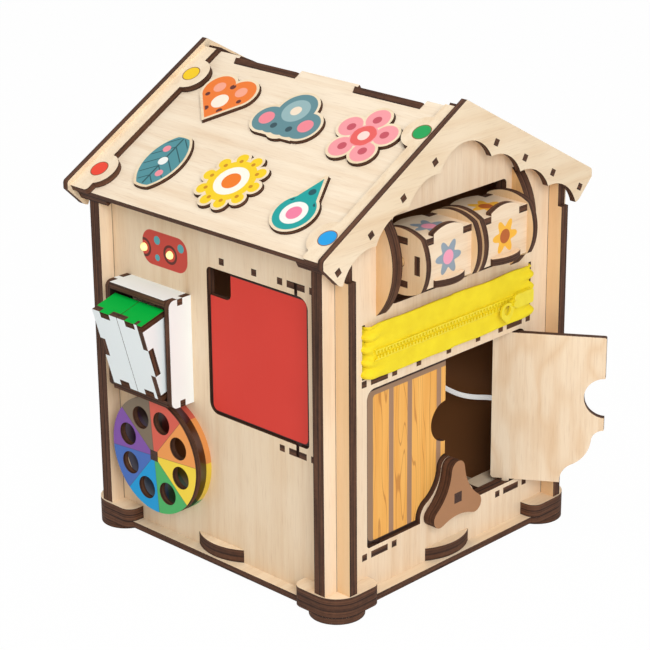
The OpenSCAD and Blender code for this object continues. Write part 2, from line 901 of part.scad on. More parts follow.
module piece(i) {
    roof_sheet(-1, panel_d - piece_proud, ply + piece_proud) piece_2d(i, 0);
}

module puzzle_heart() { color("#F08A3C") piece(0); }
module puzzle_cloud() { color("#7E98A0") piece(1); }
module puzzle_flower() { color("#F0909A") piece(2); }
module puzzle_leaf() { color("#4E9C98") piece(3); }
module puzzle_sun() { color("#F5CF45") piece(4); }
module puzzle_drop() { color("#35AFAE") piece(5); }

// ---- Doors and latch ----

// The right door, closed, in X and Z
module door_2d() {
    difference() {
        union() {
            round_rect(mid_gap, leaf_low, leaf_edge, leaf_top, [1, 2, door_r - 1, 1]);
            rect(pivot_x - pivot_w / 2, sill_lug_z + tab_slack, pivot_x + pivot_w / 2,
                lintel_z + ply - tab_slack);
        }
        translate([0, notch_z]) circle(notch_r);
        post(post_gap);
    }
}

module left_door() {
    color("#E9A65A") sheet_xz(pivot_y - ply / 2, ply) mirror([1, 0]) door_2d();
}

module right_door() {
    color(birch)
        translate([pivot_x, pivot_y, 0])
        rotate([0, 0, right_open])
        translate([-pivot_x, -pivot_y, 0])
        sheet_xz(pivot_y - ply / 2, ply) door_2d();
}

module latch_2d() {
    difference() {
        union() {
            difference() {
                circle(latch_blend, $fn = 96);
                for (a = [30, 150, 270])
                    rotate(a) translate([latch_hollow, 0])
                        circle(latch_hollow - latch_waist - 0.12, $fn = 96);
            }
            for (a = [90, 210, 330]) rotate(a) translate([latch_reach, 0]) circle(latch_lobe);
        }
        square(peg_w, center = true);
    }
}

module door_latch() {
    color("#9C7A60") sheet_xz(-hy - gap - wall_t, wall_t) translate([0, latch_z]) latch_2d();
}

module latch_peg() {
    color("#4B2D23")
        sheet_xz(-hy - gap - wall_t, 2 * wall_t + 2 * gap + ply)
        translate([0, latch_z]) square(peg_w, center = true);
}

module keeper_2d() {
    difference() {
        circle(keeper_r);
        square(peg_w, center = true);
    }
}

module latch_keeper() {
    color(birch) sheet_xz(-hy + wall_t + gap, ply) translate([0, latch_z]) keeper_2d();
}

// ---- Zip ----

// Plan of the tape: along the front of the wall and back through a slot at each end
module tape_2d(t0, t1) {
    difference() {
        round_rect(-zip_half - t0, tape_y - tape_t, zip_half + t0, -hy + wall_t + 6,
            [tape_bend, tape_bend, 0.2, 0.2]);
        round_rect(-zip_half + t1, tape_y, zip_half - t1, house_d, [tape_bend - tape_t,
            tape_bend - tape_t, 0.2, 0.2]);
    }
}

module zip_tape() {
    color(yellow) {
        translate([0, 0, zip_z]) linear_extrude(chain_h - slit / 2) tape_2d(tape_t / 2, tape_t / 2);
        translate([0, 0, chain_z + slit / 2])
            linear_extrude(zip_h - chain_h - slit / 2) tape_2d(tape_t / 2, tape_t / 2);
    }
}

module zip_teeth() {
    bead = 0.7;
    count = floor(2 * chain_half / tooth_pitch);
    color("#D8C420")
        for (s = [0, 1])
            translate([0, tape_y - tape_t, chain_z])
            mirror([0, 0, s]) {
                translate([-chain_half, -tooth_t, teeth_w / 2 - bead])
                    cube([2 * chain_half, tooth_t, bead]);
                for (i = [0:count - 1])
                    translate([-chain_half + (i + 0.25 + 0.5 * s) * tooth_pitch, -tooth_t, slit / 2])
                        cube([tooth_pitch * 0.45, tooth_t, teeth_w / 2 - slit / 2 - bead / 2]);
            }
}

module slider_plate() {
    translate([slider_x, chain_z])
        round_rect(-slider_l / 2, -slider_half, slider_l / 2, slider_half, [2.5, 1.5, 1.5, 2.5]);
}

module zip_slider() {
    color("#E6D222") {
        sheet_xz(slider_back, slider_t * 0.8) slider_plate();
        sheet_xz(slider_front - slider_t, slider_t) union() {
            slider_plate();
            translate(pull_pin) circle(1.8);
            rect(pull_pin[0], chain_z - 1.8, slider_x0 + 1, chain_z + 1.8);
        }
        sheet_xz(slider_front - slider_t, slider_back - slider_front + slider_t * 1.8)
            rect(slider_x + slider_l / 2 - 2.5, chain_z - slit / 2 + slide_gap,
                slider_x + slider_l / 2, chain_z + slit / 2 - slide_gap);
        for (s = [-1, 1])
            sheet_xz(slider_front - slide_gap, tooth_t + slide_gap)
                rect(slider_x0 + 2.5, chain_z + s * (slider_half - 0.35) - 0.35,
                    slider_x + slider_l / 2 - 1.5, chain_z + s * (slider_half - 0.35) + 0.35);
        sheet_xz(slider_front - slider_t - 2.6, 3.1) translate(pull_pin) circle(pin_r);
        sheet_xz(slider_front - slider_t - 2.6, 0.8) translate(pull_pin) circle(1.8);
    }
}

module zip_pull() {
    ring = [-6.2, -3.4];
    r = 5.3;
    color("#F0DE30")
        sheet_xz(slider_front - slider_t - 1.5, 1.2)
        translate(pull_pin)
        difference() {
            union() {
                circle(2.3);
                translate(ring) circle(r);
                polygon([[-2, 1.1], [1.2, -2], [-3.6, -6], [-7, 1]]);
                polygon([ring + [-4.2, -3.2], ring + [0, -r - 1.9], ring + [4.2, -3.2]]);
            }
            circle(pin_r + slide_gap);
            translate(ring + [0, 0.9]) circle(2.9);
        }
}

// ---- Spinners ----

module bracket_2d() {
    intersection() {
        translate([-hy - bracket_out + bracket_r, axle_z]) circle(bracket_r, $fn = 96);
        rect(-hy - 2 * bracket_out, 0, -hy, house_h);
    }
    rect(-hy - 1, axle_z - bracket_tenon / 2, -hy + wall_t, axle_z + bracket_tenon / 2);
}

// Each bracket is two sheets, and only the inner one has the axle's hole
module spinner_brackets() {
    color(birch)
        difference() {
            for (x = [-bracket_x - wall_t, bracket_x]) sheet_yz(x, wall_t) bracket_2d();
            sheet_yz(-bracket_x - ply, 2 * (bracket_x + ply))
                translate([axle_y, axle_z]) circle(axle_r + press);
        }
}

module spinner_axle() {
    color("#C9A577")
        sheet_yz(-bracket_x - ply, 2 * (bracket_x + ply)) translate([axle_y, axle_z]) circle(axle_r);
}

module end_plate_2d() {
    off = bulge_r - block_reach;
    difference() {
        intersection() {
            translate([off, 0]) circle(bulge_r, $fn = 96);
            translate([-off, 0]) circle(bulge_r, $fn = 96);
            translate([0, off]) circle(bulge_r, $fn = 96);
            translate([0, -off]) circle(bulge_r, $fn = 96);
        }
        circle(axle_r + bore_gap);
        for (k = [0:3])
            rotate(90 * k) rect(-tenon_w / 2, block_half - ply, tenon_w / 2, block_half);
    }
}

// Side plate of a spinner in X and across, with its arched tab and the notch for the next plate's tab
module side_plate_2d() {
    half = spinner_l / 2;
    difference() {
        union() {
            rect(-half + ply, -block_half, half - ply, block_half - ply);
            rect(-half, -tenon_w / 2, half, tenon_w / 2);
            intersection() {
                rect(-arch_w / 2, 0, arch_w / 2, block_reach);
                translate([0, block_reach - arch_r]) circle(arch_r, $fn = 96);
            }
        }
        rect(-arch_w / 2, -block_half - 1, arch_w / 2, -block_half + ply);
    }
}

module at_spinner(side) {
    translate([side * (spinner_gap + spinner_l) / 2, axle_y, axle_z]) children();
}

module spinner_ends(side) {
    at_spinner(side)
        for (x = [-spinner_l / 2, spinner_l / 2 - ply])
            translate([x, 0, 0]) rotate([90, 0, 90]) linear_extrude(ply) end_plate_2d();
}

module spinner_plates(side, turns) {
    at_spinner(side)
        for (a = turns)
            rotate([a, 0, 0])
            translate([0, 0, block_half - ply])
            linear_extrude(ply) side_plate_2d();
}

module left_spinner_ends() { color(birch) spinner_ends(-1); }
module left_spinner_sides() { color(birch) spinner_plates(-1, [90, 270]); }
module left_spinner_flats() { color(birch) spinner_plates(-1, [0, 180]); }
module right_spinner_ends() { color(birch) spinner_ends(1); }
module right_spinner_sides() { color(birch) spinner_plates(1, [90, 270]); }
module right_spinner_flats() { color(birch) spinner_plates(1, [0, 180]); }

// ---- Red door ----

module red_door() {
    color("#CE4438")
        sheet_yz(-hx + side_ply - ply / 2, ply)
        difference() {
            union() {
                round_rect(-red_front + door_gap, red_low, red_rear - door_gap, red_high, [2, 6, 2, 6]);
                rect(-red_pivot - pivot_w / 2, red_lug_z + tab_slack, -red_pivot + pivot_w / 2,
                    red_strip_z + ply - tab_slack);
            }
            round_rect(red_rear - red_notch_w, red_top - red_notch_h, red_rear + 5, red_top + 5,
                [4, 0.2, 0.2, 0.2]);
        }
}

// ---- Colour wheel ----

module at_wheel() {
    translate([wheel_y, wheel_z]) children();
}

module colour_wheel() {
    color("#EB9B50")
        sheet_yz(-hx - wheel_out - ply, ply)
        at_wheel() difference() {
            circle(wheel_r, $fn = 96);
            square(peg_w, center = true);
            for (i = [0:sectors - 1])
                rotate((i + 0.4) * 360 / sectors) translate([hole_ring, 0]) circle(hole_r);
        }
}

module wheel_back() {
    color("#4BAA5F")
        sheet_yz(-hx - ply, ply)
        at_wheel() difference() {
            circle(wheel_r, $fn = 96);
            circle(peg_hole_r);
        }
}

module wheel_washer() {
    color(birch)
        sheet_yz(-hx - wall_t, ply)
        at_wheel() difference() {
            circle(keeper_r);
            circle(peg_hole_r);
        }
}

module wheel_peg() {
    color("#4B2D23")
        sheet_yz(-hx - wheel_out - ply, wheel_out + side_t + gap + 2 * ply)
        at_wheel() square(peg_w, center = true);
}

module wheel_keeper() {
    color(birch) sheet_yz(-hx + side_t + gap, ply) at_wheel() keeper_2d();
}

// ---- Switch ----

// Draws in distance from the wall (x) and height (y), as a sheet from y0 towards the rear
module switch_sheet(y0, t) {
    translate([-hx, y0 + t, 0]) rotate([90, 0, 0]) linear_extrude(t) mirror([1, 0]) children();
}

// The rocker axle, or its hole: it ends half way through the two sides of the box
module rocker_rod(r) {
    translate([-hx - rocker_out, box_y + (box_in + ply) / 2, box_mid])
        rotate([90, 0, 0]) cylinder(h = box_in + ply, r = r);
}

module switch_sides() {
    color("white")
        difference() {
            for (y = [box_y - box_in / 2 - ply, box_y + box_in / 2])
                switch_sheet(y, ply) difference() {
                    union() {
                        round_rect(0, box_z, box_d, box_top, [0.2, 4, 4, 0.2]);
                        for (z = [box_z + 8, box_top - 8 - box_tenon])
                            rect(-side_t, z, 1, z + box_tenon);
                    }
                    for (z = [box_z, box_top - ply])
                        rect(box_d / 2 - ply / 2, z, box_d / 2 + ply / 2, z + ply);
                }
            rocker_rod(rocker_r + press);
        }
}

module switch_shelves() {
    color("white")
        for (z = [box_z, box_top - ply])
            translate([-hx, box_y, z]) linear_extrude(ply) {
                rect(-box_d, -box_in / 2, 0, box_in / 2);
                rect(-box_d / 2 - ply / 2, -box_in / 2 - ply, -box_d / 2 + ply / 2, box_in / 2 + ply);
            }
}

module rocker_axle() { color("#C9A577") rocker_rod(rocker_r); }

// A key's frame: the rocker axle at the origin, outwards +X, tilted with its top out
module at_key(y) {
    translate([-hx - rocker_out, y, box_mid])
        mirror([1, 0, 0])
        rotate([0, key_tilt, 0])
        children();
}

// The front of a key: the rear key's side plate comes through at mid height, and the front key's
// side plate comes to the front above and below mid height
module key_plate(y, rear) {
    at_key(y)
        translate([key_f - ply, 0, 0])
        rotate([90, 0, 90])
        linear_extrude(ply)
        difference() {
            square([key_w, key_h], center = true);
            if (rear)
                translate([(key_w - ply) / 2, 0]) square([ply, side_tab], center = true);
            else
                for (s = [-1, 1])
                    translate([-(key_w - ply) / 2, s * (key_h + long_tab) / 4])
                        square([ply, (key_h - long_tab) / 2], center = true);
            for (s = [-1, 1])
                translate([0, s * (key_h - ply) / 2]) square([cap_tab, ply], center = true);
        }
}

module key_side_2d() {
    half = key_h / 2 - ply;
    polygon([
        [key_f - ply, -half], [key_f - ply, half], [cap_back, half],
        [-rocker_r - 2.5, 3], [-rocker_r - 2.5, -3], [cap_back, -half]
    ]);
}

module key_sides(y, rear) {
    half = key_h / 2 - ply;
    at_key(y)
        for (s = [-1, 1])
            translate([0, s * (key_w - ply) / 2 + ply / 2, 0])
            rotate([90, 0, 0])
            linear_extrude(ply)
            difference() {
                union() {
                    key_side_2d();
                    if (rear && s > 0) rect(key_f - ply - 1, -side_tab / 2, key_f, side_tab / 2);
                    if (!rear && s < 0)
                        for (m = [0, 1])
                            mirror([0, m]) rect(key_f - ply - 1, long_tab / 2, key_f, half);
                }
                circle(rocker_r + bore_gap);
            }
}

module key_caps(y, rear) {
    at_key(y)
        for (s = [-1, 1])
            translate([0, 0, s * (key_h - ply) / 2 - ply / 2])
            linear_extrude(ply) {
                rect(cap_back, -key_w / 2, key_f - ply, key_w / 2);
                rect(key_f - ply - 1, -cap_tab / 2, key_f, cap_tab / 2);
                if (!rear) rect(key_f - ply - 1, -key_w / 2, key_f, -key_w / 2 + ply);
            }
}

front_key_y = box_y - (key_w + gap) / 2;
rear_key_y = box_y + (key_w + gap) / 2;

module front_key_plate() { color("white") key_plate(front_key_y, false); }
module front_key_sides() { color("white") key_sides(front_key_y, false); }
module front_key_caps() { color("#0FAF46") key_caps(front_key_y, false); }
module rear_key_plate() { color("white") key_plate(rear_key_y, true); }
module rear_key_sides() { color("white") key_sides(rear_key_y, true); }
module rear_key_caps() { color("#0FAF46") key_caps(rear_key_y, true); }

// ---- Lamps, battery box and lead ----

module lamps() {
    color("#FFF0A0") {
        for (y = [lamp_front, lamp_rear])
            translate([-hx, y, lamp_z]) rotate([0, 90, 0]) {
                cylinder(h = side_t + 0.5, r = lamp_r);
                sphere(lamp_r);
            }
        sheet_yz(-lead_x, lamp_board_t)
            round_rect(lamp_front - 4, lamp_z - 4, lamp_rear + 4, lamp_z + 4, [1, 1, 1, 1]);
    }
}

module battery_box() {
    color("#26282A")
        translate([hx - side_t - battery_d, -hy + wall_t, battery_z])
        cube([battery_d, battery_w, battery_h]);
}

// Smooth curve through the points of p, with n steps from each point to the next
function bend(a, b, c, d, t) = 0.5 * (2 * b + (c - a) * t + (2 * a - 5 * b + 4 * c - d) * t * t
    + (3 * b - a - 3 * c + d) * t * t * t);
function smooth(p, n) = [
    for (i = [0:len(p) - 2], k = [0:n - 1])
        bend(p[max(i - 1, 0)], p[i], p[i + 1], p[min(i + 2, len(p) - 1)], k / n),
    p[len(p) - 1]
];

// Frame of ring i of a tube: the middle direction of the route, and two directions across it
function along(p, i) = let (d = p[min(i + 1, len(p) - 1)] - p[max(i - 1, 0)]) d / norm(d);
function across(t) = let (c = cross(t, [0, 0, 1])) c / norm(c);

module tube(p, r, sides) {
    n = len(p);
    points = [
        for (i = [0:n - 1]) let (t = along(p, i), u = across(t), v = cross(u, t))
            for (k = [0:sides - 1])
                p[i] + r * (cos(360 * k / sides) * u + sin(360 * k / sides) * v)
    ];
    walls = [
        for (i = [0:n - 2], k = [0:sides - 1]) let (a = i * sides + k, b = i * sides + (k + 1) % sides)
            [a, a + sides, b + sides, b]
    ];
    caps = [
        [for (k = [0:sides - 1]) k],
        [for (k = [sides - 1:-1:0]) (n - 1) * sides + k]
    ];
    polyhedron(points, concat(walls, caps));
}

module lamp_lead() {
    color("white") tube(smooth(lead_route, 2), lead_r, 8);
}

feet();
base_plate();
corner_brackets();
half_moons();
front_wall_outer();
front_wall_inner();
rear_wall_outer();
rear_wall_inner();
left_wall_outer();
left_wall_inner();
right_wall_outer();
right_wall_inner();
hinge_lugs();
roof_panel_left();
roof_panel_right();
end_strips();
roof_rails();
puzzle_backing();
bargeboards();
left_door();
right_door();
door_latch();
latch_peg();
latch_keeper();
zip_tape();
zip_teeth();
zip_slider();
zip_pull();
spinner_brackets();
spinner_axle();
left_spinner_ends();
left_spinner_sides();
left_spinner_flats();
right_spinner_ends();
right_spinner_sides();
right_spinner_flats();
red_door();
colour_wheel();
wheel_back();
wheel_washer();
wheel_peg();
wheel_keeper();
switch_sides();
switch_shelves();
rocker_axle();
front_key_plate();
front_key_sides();
front_key_caps();
rear_key_plate();
rear_key_sides();
rear_key_caps();
lamps();
lamp_lead();
battery_box();
puzzle_heart();
puzzle_cloud();
puzzle_flower();
puzzle_leaf();
puzzle_sun();
puzzle_drop();
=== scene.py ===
# %% [markdown]
# # A busy house of laser-cut plywood
# A small house whose walls and roof hold doors, a zip, spinning blocks, a wheel and big keys.
# The solids come ready made, in metres. Here they get their finishes, light and a camera.
# Two soft things, the lamps' lead and the zip's tape, are made anew, because a plain solid
# can't show how they bend.

# %% Load the solids
import math

import bpy
from mathutils import Matrix, Vector


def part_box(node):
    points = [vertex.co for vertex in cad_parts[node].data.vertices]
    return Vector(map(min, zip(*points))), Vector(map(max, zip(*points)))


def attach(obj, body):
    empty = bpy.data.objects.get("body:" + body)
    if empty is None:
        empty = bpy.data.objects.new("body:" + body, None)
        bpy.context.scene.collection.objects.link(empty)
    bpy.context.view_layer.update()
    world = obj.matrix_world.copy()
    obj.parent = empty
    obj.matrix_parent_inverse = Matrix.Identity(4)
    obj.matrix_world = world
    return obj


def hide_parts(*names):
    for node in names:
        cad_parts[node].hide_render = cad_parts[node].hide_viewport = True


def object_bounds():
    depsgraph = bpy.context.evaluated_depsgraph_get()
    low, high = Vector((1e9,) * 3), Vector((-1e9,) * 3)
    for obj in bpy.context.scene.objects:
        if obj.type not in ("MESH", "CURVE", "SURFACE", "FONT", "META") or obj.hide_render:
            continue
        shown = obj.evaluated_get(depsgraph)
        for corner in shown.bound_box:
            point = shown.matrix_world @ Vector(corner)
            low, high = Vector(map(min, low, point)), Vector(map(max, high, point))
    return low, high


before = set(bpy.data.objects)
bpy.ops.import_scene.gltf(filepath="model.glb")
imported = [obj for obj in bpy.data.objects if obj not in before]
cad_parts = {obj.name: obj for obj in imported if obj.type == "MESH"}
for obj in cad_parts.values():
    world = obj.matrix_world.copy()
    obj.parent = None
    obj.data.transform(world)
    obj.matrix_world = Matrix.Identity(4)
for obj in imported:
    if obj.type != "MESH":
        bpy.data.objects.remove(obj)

solid_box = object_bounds()

# %% [markdown]
# ## Camera
# A long lens from far away keeps upright edges nearly parallel, so the walls look straight.
# The camera is made first, because everything else is judged through it. Two angles and a
# distance from the point that it looks at are easier to adjust than a place and a rotation,
# so the camera's matrix is worked out from them.

# %% Point the camera
AZIMUTH, HEIGHT_ANGLE, ROLL = (math.radians(a) for a in (-45.65, 20.98, -0.51))
LOOK_AT, DISTANCE = Vector((-0.0043, 0, 0.1263)), 1.361
LENS, SENSOR = 126.9, 36

back = Vector((math.sin(AZIMUTH) * math.cos(HEIGHT_ANGLE),
               -math.cos(AZIMUTH) * math.cos(HEIGHT_ANGLE), math.sin(HEIGHT_ANGLE)))
side = Vector((0, 0, 1)).cross(back).normalized()
upright = back.cross(side)
right = math.cos(ROLL) * side + math.sin(ROLL) * upright
turn = Matrix((right, back.cross(right), back)).transposed().to_4x4()

camera = bpy.data.objects.new("camera", bpy.data.cameras.new("camera"))
camera.data.lens = LENS
camera.data.sensor_width = SENSOR
camera.data.clip_start = 0.05
camera.matrix_world = Matrix.Translation(LOOK_AT + DISTANCE * back) @ turn
bpy.context.collection.objects.link(camera)
bpy.context.scene.camera = camera
print("camera at", [round(c, 3) for c in camera.location])

# %% [markdown]
# ## Lead of the lamps
# A flat twin lead hangs loosely along the walls, from the battery box to the lamps' board. A
# curve with a round bevel would be quicker to make, but it can't have the waist between the
# two cores. So the lead is a mesh: a smooth curve runs through a few given points, and
# a section with a waist is swept along it, which catches the light as two thin stripes.

# %% Route of the lead, in millimetres
LEAD = [
    (80.1, -66.9, 71), (80, -62, 71), (78, -56, 70.5), (75.5, -49, 69.5), (74, -40, 68.8),
    (74.5, -29, 69), (77, -16, 70), (80, -2, 72), (82, 14, 75.5), (83, 30, 79),
    (83, 46, 83), (82, 60, 86.5), (79, 71, 90), (72, 78.5, 94), (60, 82, 98.5),
    (45, 83, 104), (25, 83, 109), (0, 83, 114.5), (-25, 83, 119), (-45, 83, 123.5),
    (-60, 82, 127), (-72, 78.5, 131.5), (-79, 71, 137.5), (-82, 63, 146),
    (-82.5, 57, 157), (-81, 52, 168), (-77.5, 48.5, 176.5), (-77, 47.5, 181),
    (-80.5, 47.5, 184.2), (-85.4, 47.5, 184.2),
]


def smooth(points, steps):
    """A curve through every point, with that many steps from each to the next."""
    last = len(points) - 1
    curve = []
    for i in range(last):
        near = (max(i - 1, 0), i, i + 1, min(i + 2, last))
        a, b, c, d = (Vector(points[k]) for k in near)
        for t in (k / steps for k in range(steps)):
            curve.append(0.5 * (2 * b + (c - a) * t + (2 * a - 5 * b + 4 * c - d) * t ** 2
                                + (3 * b - a - 3 * c + d) * t ** 3))
    return curve + [Vector(points[-1])]


path = [p / 1000 for p in smooth(LEAD, 4)]
lead_length = sum((b - a).length for a, b in zip(path, path[1:]))
print("lead:", round(lead_length, 3), "m")


# %% A mesh object from points
def mesh_piece(name, points, faces):
    """A smooth-shaded mesh object, from points in metres."""
    mesh = bpy.data.meshes.new(name)
    mesh.from_pydata(points, [], faces)
    mesh.shade_smooth()
    piece = bpy.data.objects.new(name, mesh)
    bpy.context.collection.objects.link(piece)
    return piece


# %% Sweep the lead
LEAD_WIDTH, LEAD_THICK, AROUND = 0.0032, 0.0019, 16
WAIST, CORE = 0.62, 0.6


def lead_ring(i):
    """The points of the section round point i of the path, with the long side upright."""
    along = (path[min(i + 1, len(path) - 1)] - path[max(i - 1, 0)]).normalized()
    flat = along.cross((0, 0, 1)).normalized()
    tall = flat.cross(along)
    points = []
    for k in range(AROUND):
        a = 2 * math.pi * k / AROUND
        half_thick = (WAIST + CORE * abs(math.cos(a))) * LEAD_THICK / 2
        points.append(path[i] + tall * math.cos(a) * LEAD_WIDTH / 2 + flat * math.sin(a) * half_thick)
    return points


rings = [point for i in range(len(path)) for point in lead_ring(i)]
faces = [[i * AROUND + k, i * AROUND + (k + 1) % AROUND, (i + 1) * AROUND + (k + 1) % AROUND,
          (i + 1) * AROUND + k] for i in range(len(path) - 1) for k in range(AROUND)]
faces += [list(range(AROUND))[::-1], [(len(path) - 1) * AROUND + k for k in range(AROUND)]]
twin_lead = mesh_piece("twin_lead", rings, faces)
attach(twin_lead, "house")
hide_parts("lamp_lead")
print("lead mesh:", len(faces), "faces")

# %% [markdown]
# ## Shader arithmetic
# A finish is a small calculation at each point of a surface. It could be built by placing
# and linking nodes one by one, but `x * 2 + 1` is easier to read. So a Wire stands for a
# socket, and adds its own Math nodes when it meets an operator.


# %% A number that flows between shader nodes
class Wire:
    """A socket that carries a number and takes part in Python sums."""

    def __init__(self, shading, socket):
        self.shading, self.socket = shading, socket

    def calc(self, operation, *values):
        return self.shading.calc(operation, self, *values)

    def __add__(self, other):
        return self.calc("ADD", other)

    def __radd__(self, other):
        return self.shading.calc("ADD", other, self)

    def __sub__(self, other):
        return self.calc("SUBTRACT", other)

    def __rsub__(self, other):
        return self.shading.calc("SUBTRACT", other, self)

    def __mul__(self, other):
        return self.calc("MULTIPLY", other)

    def __rmul__(self, other):
        return self.shading.calc("MULTIPLY", other, self)

    def __truediv__(self, other):
        return self.calc("DIVIDE", other)

    def __rtruediv__(self, other):
        return self.shading.calc("DIVIDE", other, self)

    def __pow__(self, other):
        return self.calc("POWER", other)

    def __mod__(self, other):
        return self.calc("FLOORED_MODULO", other)

    def __abs__(self):
        return self.calc("ABSOLUTE")

    def least(self, other):
        """The smaller of two numbers, which joins two shapes given as distances."""
        return self.calc("MINIMUM", other)

    def most(self, other):
        """The larger of two numbers, which keeps what two shapes share."""
        return self.calc("MAXIMUM", other)

    def over(self, limit, soft=0.1):
        """1 where this is more than limit, 0 below, with an edge `soft` wide."""
        return ((self - limit) / soft + 0.5).most(0).least(1)

    def under(self, limit, soft=0.1):
        return 1 - self.over(limit, soft)

    def between(self, low, high, soft=0.1):
        return self.over(low, soft) * self.under(high, soft)


# %% [markdown]
# ## Finishes
# A Shading owns the nodes of one material or of the sky. A Finish is the Shading of a
# surface: it knows where it is on the object in millimetres and which way it faces, because
# laser-cut sheet is pale on its faces and burnt on its edges. Both add nodes by one method.


# %% The nodes of one material
def colour(code):
    """A web colour as the linear numbers that shaders use."""
    parts = [int(code[i:i + 2], 16) / 255 for i in (1, 3, 5)]
    return [c / 12.92 if c <= 0.04045 else ((c + 0.055) / 1.055) ** 2.4 for c in parts] + [1]


class Shading:
    """The nodes of a material or a world, and the few kinds that this house needs."""

    def __init__(self, tree):
        self.nodes, self.links = tree.nodes, tree.links

    def plug(self, socket, value):
        """Links a value that comes from a node, and sets one that is a plain number or colour."""
        if isinstance(value, Wire):
            value = value.socket
        if isinstance(value, bpy.types.NodeSocket):
            self.links.new(value, socket)
        else:
            socket.default_value = value

    def node(self, kind, settings=(), **values):
        """A node of a kind: its settings come first, then the values or links of its sockets."""
        made = self.nodes.new(kind)
        for name, value in dict(settings).items():
            if name == "stops":
                band = made.color_ramp
                band.interpolation = value[0]
                for i, (at, code) in enumerate(value[1:]):
                    stop = band.elements[i] if i < 2 else band.elements.new(at)
                    stop.position, stop.color = at, colour(code)
            else:
                setattr(made, name, value)
        for name, value in values.items():
            self.plug(made.inputs[int(name[1:]) if name[1:].isdigit() else name], value)
        return made

    def calc(self, operation, *values):
        """A Math node: its operation, then its values in order."""
        sockets = {f"i{i}": value for i, value in enumerate(values)}
        return Wire(self, self.node("ShaderNodeMath", {"operation": operation}, **sockets).outputs[0])

    def split(self, socket):
        """The three numbers of a vector."""
        parts = self.node("ShaderNodeSeparateXYZ", Vector=socket).outputs
        return [Wire(self, part) for part in parts]

    def join(self, x, y, z):
        """A vector made of three numbers."""
        return self.node("ShaderNodeCombineXYZ", X=x, Y=y, Z=z).outputs[0]

    def mix(self, below, above, mask):
        """The colour `above` laid over `below` where the mask is 1."""
        made = self.node("ShaderNodeMix", {"data_type": "RGBA"}, i0=mask, i6=below, i7=above)
        return made.outputs[2]

    def noise(self, x, y, z, scale=1.0, detail=3.0, rough=0.5):
        """Smooth noise from 0 to 1 whose grain is stretched by the scale of each direction."""
        made = self.node("ShaderNodeTexNoise", Vector=self.join(x, y, z), Scale=scale,
                         Detail=detail, Roughness=rough)
        return Wire(self, made.outputs[0])


print("web white is", [round(c, 2) for c in colour("#FFFFFF")])


# %% The finish of a surface
class Finish(Shading):
    """A material that knows its place on the object and which way its surface looks."""

    def __init__(self, name):
        self.material = bpy.data.materials.new(name)
        self.material.use_nodes = True
        super().__init__(self.material.node_tree)
        self.shader = self.nodes["Principled BSDF"]
        point = self.node("ShaderNodeTexCoord").outputs
        self.x, self.y, self.z = (w * 1000 for w in self.split(point["Object"]))
        self.nx, self.ny, self.nz = self.split(point["Normal"])

    def facing(self, *directions):
        """1 on the faces of a sheet that lies square to one of the directions, 0 on its edges."""
        most = None
        for dx, dy, dz in directions:
            along = abs(self.nx * dx + self.ny * dy + self.nz * dz)
            most = along if most is None else most.most(along)
        return most.over(0.9, 0.04)

    def patches(self, light, dark, scale, soft=0.5):
        """Two close colours in soft patches, so that no surface is one flat colour."""
        tone = self.noise(self.x, self.y, self.z, scale)
        return self.mix(colour(light), colour(dark), tone.over(0.5, soft))

    def give(self, name, value):
        """Sets or links a socket of the shader."""
        self.plug(self.shader.inputs[name], value)

    def bump(self, height, depth_mm):
        """Shades the surface as if it rose and fell by that depth, and leaves its shape alone."""
        made = self.node("ShaderNodeBump", Strength=1.0, Distance=depth_mm / 1000, Height=height)
        self.give("Normal", made.outputs[0])


def dress(finish, *names):
    """Gives a finish to solids by name, or to a piece made here."""
    parts = [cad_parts[name] if isinstance(name, str) else name for name in names]
    for part in parts:
        if not part.material_slots:
            part.data.materials.append(finish.material)
        for each in part.material_slots:
            each.material = finish.material
    print(finish.material.name, "on", ", ".join(part.name for part in parts))


# %% [markdown]
# ## Birch plywood
# Birch is pale, with fine straight grain, faint darker streaks and short pore flecks. The
# laser leaves the cut edges dark brown, with the veneers as fine bands and a darker line where
# two sheets meet. A picture of wood would have to be unwrapped onto every small sheet, and
# would repeat. Noise stretched along the grain needs no unwrapping and never repeats: one
# noise gives the streaks, and a second, finer one the flecks.

# %% Directions of the house's sheets
RIDGE = round(solid_box[1][2] * 1000)
PITCH = math.radians(29.7)
FRONT, SIDE, LEVEL = (0, 1, 0), (1, 0, 0), (0, 0, 1)
SLOPES = [(-math.sin(PITCH), 0, math.cos(PITCH)), (math.sin(PITCH), 0, math.cos(PITCH))]
OPEN_ANGLE = math.radians(123)
OPEN_DOOR = (math.sin(OPEN_ANGLE), -math.cos(OPEN_ANGLE), 0)
TILT = math.radians(15.9)
KEY_FRONT, KEY_CAP = (math.cos(TILT), 0, math.sin(TILT)), (-math.sin(TILT), 0, math.cos(TILT))
print("ridge at", RIDGE, "mm")


# %% Depth through a sheet
def depth_into(f, direction, seam):
    """Millimetres along a sheet's own normal, from the seam between two sheets."""
    if direction in SLOPES:
        return (RIDGE - f.z) * math.cos(PITCH) - abs(f.x) * math.sin(PITCH) - seam
    dx, dy, dz = direction
    if direction in (FRONT, SIDE):
        return seam - abs(f.x * dx + f.y * dy)
    return f.x * dx + f.y * dy + f.z * dz - seam


# %% The burnt edge
BURNT_DARK, BURNT_LIGHT, JOINT_LINE = "#24120A", "#6A4530", "#180B06"


